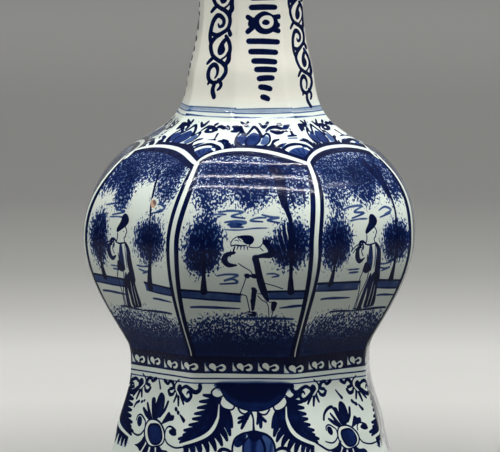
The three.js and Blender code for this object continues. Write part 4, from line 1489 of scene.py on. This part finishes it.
def ringFlower(curlRise=0):
    ink = foot["ink"]
    ring = [(1.1, 55.2), (5, 55.1), (8.7, 53.6), (12.1, 50.5), (13.4, 47.2), (12, 44.1), (7.8, 42.5),
            (3.1, 42.2), (-0.5, 44.3), (-2.4, 47.6), (-2.9, 50.9), (-1.6, 54)]
    middle = [(2, 52.7), (6.7, 52.9), (9.7, 50.7), (11.3, 47), (9.7, 44.4), (6, 43.5), (3, 44.7), (0.7, 47.9),
              (0.1, 51.2)]
    return [
        # tulip above the ring
        fill([(1.5, 64.5), (2.2, 67), (3.4, 68.3), (5, 68.2), (7.2, 66), (8.1, 61.2), (7, 58.2), (4.9, 55.6),
              (1.6, 55.6), (-0.2, 58.6), (0.8, 61.6)], ink),
        fill([(-2.6, 64.6), (-1.3, 65.7), (0.4, 64.9), (1.1, 62.5), (2.4, 58.9), (2, 56), (0.4, 57),
              (-1.3, 60.6)], ink),
        brush([(-7.5, 59.7), (-4, 57.2), (-0.6, 55.3)], [1.3, 2.4, 2.0], ink),
        brush([(-5.3, 62.4), (-3, 59.2), (0, 55.6)], [1.2, 1.9, 2.0], ink),
        brush([(10.1, 64.3), (9, 60.4), (6.6, 57)], [1.7, 1.9, 1.4], ink),
        fill([(12.6, 59.9), (14.6, 58.5), (17, 58.4), (17.2, 56.2), (14.2, 55.4), (10.8, 54), (8.8, 53.6),
              (10.2, 56.6), (11.4, 58.7)], ink),
        # curls beside it
        brush([(-3.1, 51.5), (-3.4, 53.4), (-5.1, 54.9), (-8.2, 56.5), (-10.6, 55.7), (-11, 53.6)],
              [0.7, 0.8, 0.9, 0.9, 0.8, 0.6], ink),
        fill([(-10, 55.3), (-8, 55.6), (-6.6, 54.4), (-6.2, 52), (-7.8, 50.7), (-10, 52.6)], ink),
        brush([(-2.9, 49.9), (-5.1, 47.4), (-8.2, 46.5), (-12.8, 47.7)], [0.8, 0.9, 0.9, 0.6], ink),
        *moved([
            brush([(13.1, 49.2), (13.2, 51.4), (14.8, 52.9), (17.5, 52.8), (20.4, 51.4)],
                  [0.8, 0.8, 0.9, 1.1, 1.4], ink),
            fill([(15.6, 50.8), (17.7, 52.2), (20.6, 51.5), (21.7, 49.5), (19.3, 48.8), (16.6, 49.6)], ink),
        ], 0, curlRise),
        brush([(13.4, 47.4), (15.2, 45.4), (17.4, 44.2), (22.1, 43.3), (27.2, 44), (33, 45.4)],
              [0.8, 0.8, 0.8, 0.9, 0.9, 1.2], ink),
        # leaves below it
        fill([(-2.6, 46.4), (-1, 43.8), (-2.1, 41.4), (-4.1, 39), (-6.3, 40.6), (-9.3, 41.7), (-7.3, 42.3),
              (-4.4, 44.1)], ink),
        fill([(9.8, 43), (12.6, 41.4), (16.4, 41.2), (18.6, 39), (15.6, 37), (11.4, 37.6), (8.6, 40)], ink),
        brush([(1.4, 42.8), (-0.4, 38.4), (-1.2, 33.6)], [2.4, 4.4, 1.2], ink),
        brush([(5.2, 42.2), (5.6, 36.4), (5.4, 31.6)], [3.0, 5.0, 1.2], ink),
        brush([(8.6, 42.6), (11, 36), (11.8, 31.6)], [1.8, 3.0, 1.0], ink),
        wiped(fill(ring)),
        brush(ring, [0.9, 1.1, 0.8, 1.0, 0.9], ink, closed=True),
        fill(middle, 0.78, 0.5),
        brush([(2.8, 47), (4.8, 45.6), (8.4, 46)], [0.8, 1.8, 0.8], 0.5, 0.9),
        brush(middle, [1.2, 1.0, 1.2, 1.5], ink, closed=True),
    ]


def commas():
    ink = foot["ink"]
    return [brush([(0.6, 74.4), (1.6, 72.2), (2.4, 70.2)], [0.8, 1.1, 1.2], ink),
            brush([(16.9, 61.8), (17.6, 61.3)], 1.8, ink), brush([(19.1, 60.3), (19.7, 59.8)], 1.7, ink),
            brush([(21, 59.2), (23, 58), (25, 56.6)], [0.7, 1.5, 2.0], ink),
            brush([(-15.3, 59.4), (-14.4, 61.4), (-12.3, 62.6)], [0.8, 1.4, 1.5], ink),
            brush([(-10.2, 62.5), (-9.7, 62.7)], 1.4, ink), brush([(-8.4, 63.2), (-8, 63.4)], 1.2, ink)]


def rightCommas():
    ink = foot["ink"]
    return [brush([(1.2, 69.8), (3, 67.6), (4.6, 65.8)], [0.8, 1.1, 1.7], ink),
            brush([(-10.4, 56.4), (-9.2, 59.2), (-6.4, 61.4), (-3.4, 62.1), (-2.6, 61)],
                  [1.2, 1.3, 1.5, 1.6, 1.4], ink),
            brush([(11, 63.9), (11.8, 63.1)], 1.6, ink), brush([(13, 62.4), (13.8, 61.9)], 1.7, ink),
            brush([(15.3, 61.6), (16.4, 60.2), (17.4, 59.2)], [0.8, 1.3, 1.7], ink),
            brush([(-1.6, 45.2), (-4, 42.8), (-9.6, 41.5), (-15.4, 44.4), (-22, 48.6), (-27, 52)],
                  [0.9, 1.0, 1.1, 1.0, 0.8, 0.6], ink)]


def paintFoot():
    for k, turn in enumerate(faceTurns):
        if k % 2 == 0:
            lay(feather(), turn, foot["shift"])
            lay(feather(), turn, foot["shift"] - 1.6, mirror=True, loose=0.2)
            lay(halfFlower(), turn, foot["shift"])
            lay(roundFlower(), turn, foot["shift"])
            lay(lowerSpray(), turn, foot["shift"])
        else:
            lay(sprig(), turn, 17, 69, loose=0.2)
            lay(sprig(), turn, -13.4, 69.4, mirror=True, loose=0.2)
            if k % 4 == 3:
                lay(ringFlower() + commas(), turn)
            else:
                lay(ringFlower(2.6), turn, -0.5, 4.05, 0.88)
                lay(rightCommas(), turn)
            lay(lowerSpray(), turn, foot["shift"], -4.5)
    lay([band(13.6, 14.2, 0.6, 0.3, 0.2, 14), band(6.4, 12.2, 0.9, 0.3, 0.2, 15),
         band(3.6, 4.2, 0.5, 0.3, 0.15, 16)])
    for k in range(48):
        lay([wiped(fill([(-1.5, 9.3), (0, 10.6), (1.5, 9.3), (0, 8)])),
             wiped(brush([(2.4, 7.6), (3.6, 9.3), (2.4, 11)], 0.6))], 7.5 * k)


# Below the photograph's edge the flowers are taken to stand on leaves
def lowerSpray():
    ink = foot["ink"]
    drawn = [brush([(0, 33.5), (0.2, 26), (0, 17)], [1.4, 2.4, 1.2], ink)]
    for flip in (-1, 1):
        drawn += [brush([(0.6 * flip, 31), (6 * flip, 28.5), (10 * flip, 31.5)], [1.2, 2.6, 0.9], ink),
                  brush([(0.6 * flip, 27), (7 * flip, 23.5), (13 * flip, 26)], [1.2, 2.9, 0.9], ink),
                  brush([(0.6 * flip, 22.5), (7 * flip, 18), (14 * flip, 19.5)], [1.2, 2.8, 0.9], ink),
                  brush([(17 * flip, 31), (19.5 * flip, 26), (17.5 * flip, 22)], [0.9, 1.4, 1.0], ink),
                  brush([(20.5 * flip, 20), (21 * flip, 18)], 1.4, ink)]
    return drawn


paintScenes()
paintShoulder()
paintFrames()
paintNeck()
paintHead()
paintWaist()
paintFoot()
# One chip in the glaze, beside a trunk: bare clay, with a dark patch painted in its middle as the shade of a
# hollow
chipRing = [(2, 0), (2.2, -1.5), (1.2, -2.1), (-0.5, -1.5), (-2, 0), (-2.2, 1.5), (-1.2, 2.1), (0.5, 1.5)]
lay([wiped(fill([(1.3 * x, 1.3 * z) for x, z in chipRing])), wiped(fill(chipRing, 0.34), "bare"),
     wiped(brush([(-2, 0.9), (-1.6, -0.3), (-0.3, -1.4), (1.2, -1.7)], 1.2, 0.9), "bare"),
     fill([(-1.1, 1.4), (0.3, 1), (1.6, -0.2), (1.4, -1), (0, -0.5), (-1.3, 0.6)], 1, 0.7)],
    faceTurns[7], 15.8, 164.4)
print("painting holds", len(painting), "strokes")

# The sections
halfSeam = vase["seam"] / 2


def wallEnd(height, side):
    # The glaze skin reaches over the seam; the wall itself ends short of it
    radius = float(outerRadius(height)) - vase["glazeSkin"]
    return [(radius, height), (radius, height + side * halfSeam)]


def inwardRows(top, bottom, step=4.0):
    rows = max(2, int((top - bottom) / step))
    return [(float(innerRadius(z)), z) for z in np.linspace(top, bottom, rows + 1)]


def plainLining(bottom, top):
    return [*wallEnd(top, -1), *inwardRows(top - halfSeam, bottom + halfSeam), *reversed(wallEnd(bottom, 1))]


def footLining(bottom, top):
    recess, width = vase["baseRecess"], vase["standingEdge"]
    ledge = float(outerRadius(bottom)) - width
    return [*wallEnd(top, -1), *inwardRows(top - halfSeam, recess), (ledge, recess), (ledge, 4.5),
            (ledge, 1.2), (ledge + 0.4, 0.4), (ledge + 1.2, 0.0), (ledge + 4, 0.0),
            (float(outerRadius(0)) - 1.4, 0.0), (float(outerRadius(0.6)) - 0.4, 0.35)]


def headLining(bottom, top):
    # The lip is a half round roll over the skin's top edge
    outside, inside = float(outerRadius(top)), float(innerRadius(top))
    middle, reach = (outside + inside) / 2, (outside - inside) / 2
    roll = [(middle + reach * math.cos(a), top + vase["lipRoll"] * math.sin(a))
            for a in np.linspace(0, math.pi, 13)[1:-1]]
    return [*roll, *inwardRows(top, bottom + halfSeam, 3.0), *reversed(wallEnd(bottom, 1))]


sections = [
    ("foot_section", "spreading_foot", 0.8, waistZ, footLining),
    ("lower_belly", "lower_belly_wall", waistZ, bellyZ, plainLining),
    ("upper_belly", "upper_belly_wall", bellyZ, neckZ, plainLining),
    ("neck_section", "tapering_neck", neckZ, headZ, plainLining),
    ("garlic_head", "garlic_bulb", headZ, topZ - vase["lipRoll"], headLining),
]
glazeMaterial = paintedGlaze()
clayMaterial = slipClay()
for node, name, bottom, top, makeLining in sections:
    # a wide section's skin is laid out in two strips, a narrow one's in one
    strips = 1 if bottom >= neckZ else 2
    piece = paintedSection(name, bottom, top, makeLining(bottom, top), strips)
    piece.data.materials.append(glazeMaterial)
    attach(piece, "root")
    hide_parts(node)


def innerWall(height):
    return float(innerRadius(height))


def baseSlab():
    low, high = vase["baseRecess"], vase["baseRecess"] + vase["baseThickness"]
    gap = 0.3
    return [(0, low), (innerWall(low) - gap, low), (innerWall(high) - gap, high), (0, high)]


slab = turnedSolid("closing_slab", baseSlab())
slab.data.materials.append(glazeMaterial)
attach(slab, "root")
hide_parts("base_slab")

# Clay that follows a ring, in the wall or inside it: a rounded strip swept along the ring
clayRing = {"Width": 0.005, "Height": 0.0012, "Rounding": 0.0005}


def clayRingTree():
    tree = bpy.data.node_groups.new("clay_ring", "GeometryNodeTree")
    tree.interface.new_socket("Geometry", in_out="INPUT", socket_type="NodeSocketGeometry")
    for name, value in clayRing.items():
        socket = tree.interface.new_socket(name, in_out="INPUT", socket_type="NodeSocketFloat")
        socket.default_value = value
    tree.interface.new_socket("Geometry", in_out="OUTPUT", socket_type="NodeSocketGeometry")
    names = ("GroupInput", "MeshToCurve", "SetCurveNormal", "CurvePrimitiveQuadrilateral", "FilletCurve",
             "CurveToMesh", "SetShadeSmooth", "RealizeInstances", "SetMaterial")
    nodes = {name: tree.nodes.new("NodeGroupInput" if name == "GroupInput" else "GeometryNode" + name)
             for name in names}
    output = tree.nodes.new("NodeGroupOutput")
    start, strip, fillet = nodes["GroupInput"], nodes["CurvePrimitiveQuadrilateral"], nodes["FilletCurve"]
    nodes["SetCurveNormal"].mode = "Z_UP"
    fillet.mode = "POLY"
    fillet.inputs["Count"].default_value = 3
    nodes["SetMaterial"].inputs["Material"].default_value = clayMaterial
    links = [
        (start.outputs["Geometry"], nodes["MeshToCurve"].inputs["Mesh"]),
        (nodes["MeshToCurve"].outputs["Curve"], nodes["SetCurveNormal"].inputs["Curve"]),
        (start.outputs["Width"], strip.inputs["Width"]),
        (start.outputs["Height"], strip.inputs["Height"]),
        (strip.outputs["Curve"], fillet.inputs["Curve"]),
        (start.outputs["Rounding"], fillet.inputs["Radius"]),
        (nodes["SetCurveNormal"].outputs["Curve"], nodes["CurveToMesh"].inputs["Curve"]),
        (fillet.outputs["Curve"], nodes["CurveToMesh"].inputs["Profile Curve"]),
        (nodes["CurveToMesh"].outputs["Mesh"], nodes["SetShadeSmooth"].inputs["Geometry"]),
        (nodes["SetShadeSmooth"].outputs["Geometry"], nodes["RealizeInstances"].inputs["Geometry"]),
        (nodes["RealizeInstances"].outputs["Geometry"], nodes["SetMaterial"].inputs["Geometry"]),
        (nodes["SetMaterial"].outputs["Geometry"], output.inputs["Geometry"]),
    ]
    for source, target in links:
        tree.links.new(source, target)
    return tree


def layClayRing(name, tree, outer, inner, height, thick, rounding):
    columns = lining["columns"]
    turns = ringTurns(columns)[:-1]
    path = surfacePoint(turns, np.full(columns, float(height)), (outer + inner) / 2)
    mesh = bpy.data.meshes.new(name + "_path")
    mesh.from_pydata((path * mm).tolist(), [(i, (i + 1) % columns) for i in range(columns)], [])
    guide = addObject(name + "_path", mesh)
    sizes = {"Width": (outer - inner) * mm, "Height": thick * mm, "Rounding": rounding * mm}
    modifier = guide.modifiers.new("clay", "NODES")
    modifier.node_group = tree
    for item in tree.interface.items_tree:
        if item.name in sizes:
            modifier[item.identifier] = sizes[item.name]
    finished = guide.evaluated_get(bpy.context.evaluated_depsgraph_get())
    swept = bpy.data.meshes.new_from_object(finished)
    swept.name = name
    bpy.data.objects.remove(guide)
    return addObject(name, swept)


ringTree = clayRingTree()
seamClay = {"inset": vase["glazeSkin"] + 0.7, "bulge": 0.8, "rounding": 0.4}
coil = {"low": vase["baseRecess"] + vase["baseThickness"], "size": 5.6, "gap": 0.5, "rounding": 1.7}
coilWall = innerWall(coil["low"])
clayRings = [
    (node, name, float(outerRadius(z)) - seamClay["inset"], innerWall(z) - seamClay["bulge"], z,
     vase["seam"], seamClay["rounding"])
    for node, name, z in (("waist_slip_seam", "waist_seam", waistZ),
                          ("belly_slip_seam", "belly_seam", bellyZ),
                          ("neck_slip_seam", "neck_seam", neckZ), ("head_slip_seam", "head_seam", headZ))
]
clayRings.append(("base_luting_coil", "luting_coil", coilWall - coil["gap"], coilWall - coil["size"],
                  coil["low"] + coil["size"] / 2, coil["size"], coil["rounding"]))
for node, name, outer, inner, height, thick, rounding in clayRings:
    piece = layClayRing(name, ringTree, outer, inner, height, thick, rounding)
    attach(piece, "root")
    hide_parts(node)
    print(name, [round(side / mm, 1) for side in piece.dimensions], len(piece.data.polygons))
print("pieces ready")

# Floor, lamps and world


def makeFloor():
    half = stage["floorSize"] / 2
    mesh = bpy.data.meshes.new("floor")
    mesh.from_pydata([(-half, -half, 0), (half, -half, 0), (half, half, 0), (-half, half, 0)], [],
                     [(0, 1, 2, 3)])
    floor = addObject("floor", mesh)
    floor.location.z = -stage["floorDrop"]
    floor.data.materials.append(backdropPaper())


def makeLamp(name, place, aim, size, energy, shows, spin=0.0):
    data = bpy.data.lights.new(name, "AREA")
    data.shape = "RECTANGLE"
    data.size, data.size_y = size
    data.energy = energy
    lamp = addObject(name, data)
    lamp.location = place
    facing = (Vector(aim) - Vector(place)).to_track_quat("-Z", "Y")
    lamp.rotation_euler = (facing @ Euler((0, 0, spin)).to_quaternion()).to_euler()
    lamp.visible_camera = False
    lamp.visible_glossy = shows != "light"
    lamp.visible_diffuse = shows != "mirror"


def makeWorld():
    world = bpy.data.worlds.new("studio")
    world.use_nodes = True
    tree = world.node_tree
    tree.nodes.clear()
    level = mixed(tree, seenDirectly(tree), stage["worldBounce"], stage["worldSeen"])
    shader = addNode(tree, "Background", {"Color": level, "Strength": 1.0})
    output = addNode(tree, "OutputWorld")
    tree.links.new(shader.outputs[0], output.inputs["Surface"])
    bpy.context.scene.world = world


makeFloor()
makeWorld()
vaseMiddle = (0, 0, 0.17)
makeLamp("overhead_softbox", (0.3, -0.54, 1.78), (0, 0, 0.15), (2.4, 0.6), 53, "light")
makeLamp("backdrop_light", (0, 3.4, 3.0), (0, 3.4, 0), (5.0, 3.6), 58, "light")
makeLamp("strip_left", (-1.5, 0.15, 0.6), vaseMiddle, (1.0, 0.14), 7, "light")
makeLamp("strip_right", (1.5, 0.1, 1.3), vaseMiddle, (1.0, 0.14), 4, "both", math.radians(10))
# Thin tubes on an arc over the front show only as long streaks in the glaze
tubeReach = 1.5
for name, elevation, spin in (("tube_low", 62, 6), ("tube_middle", 76, 5), ("tube_high", 99, 2)):
    angle = math.radians(elevation)
    place = (0, -tubeReach * math.cos(angle), vaseMiddle[2] + tubeReach * math.sin(angle))
    makeLamp(name, place, vaseMiddle, (2.6, 0.03), 58, "mirror", math.radians(spin))
bpy.context.scene.view_settings.view_transform = "Standard"

print("scene ready")
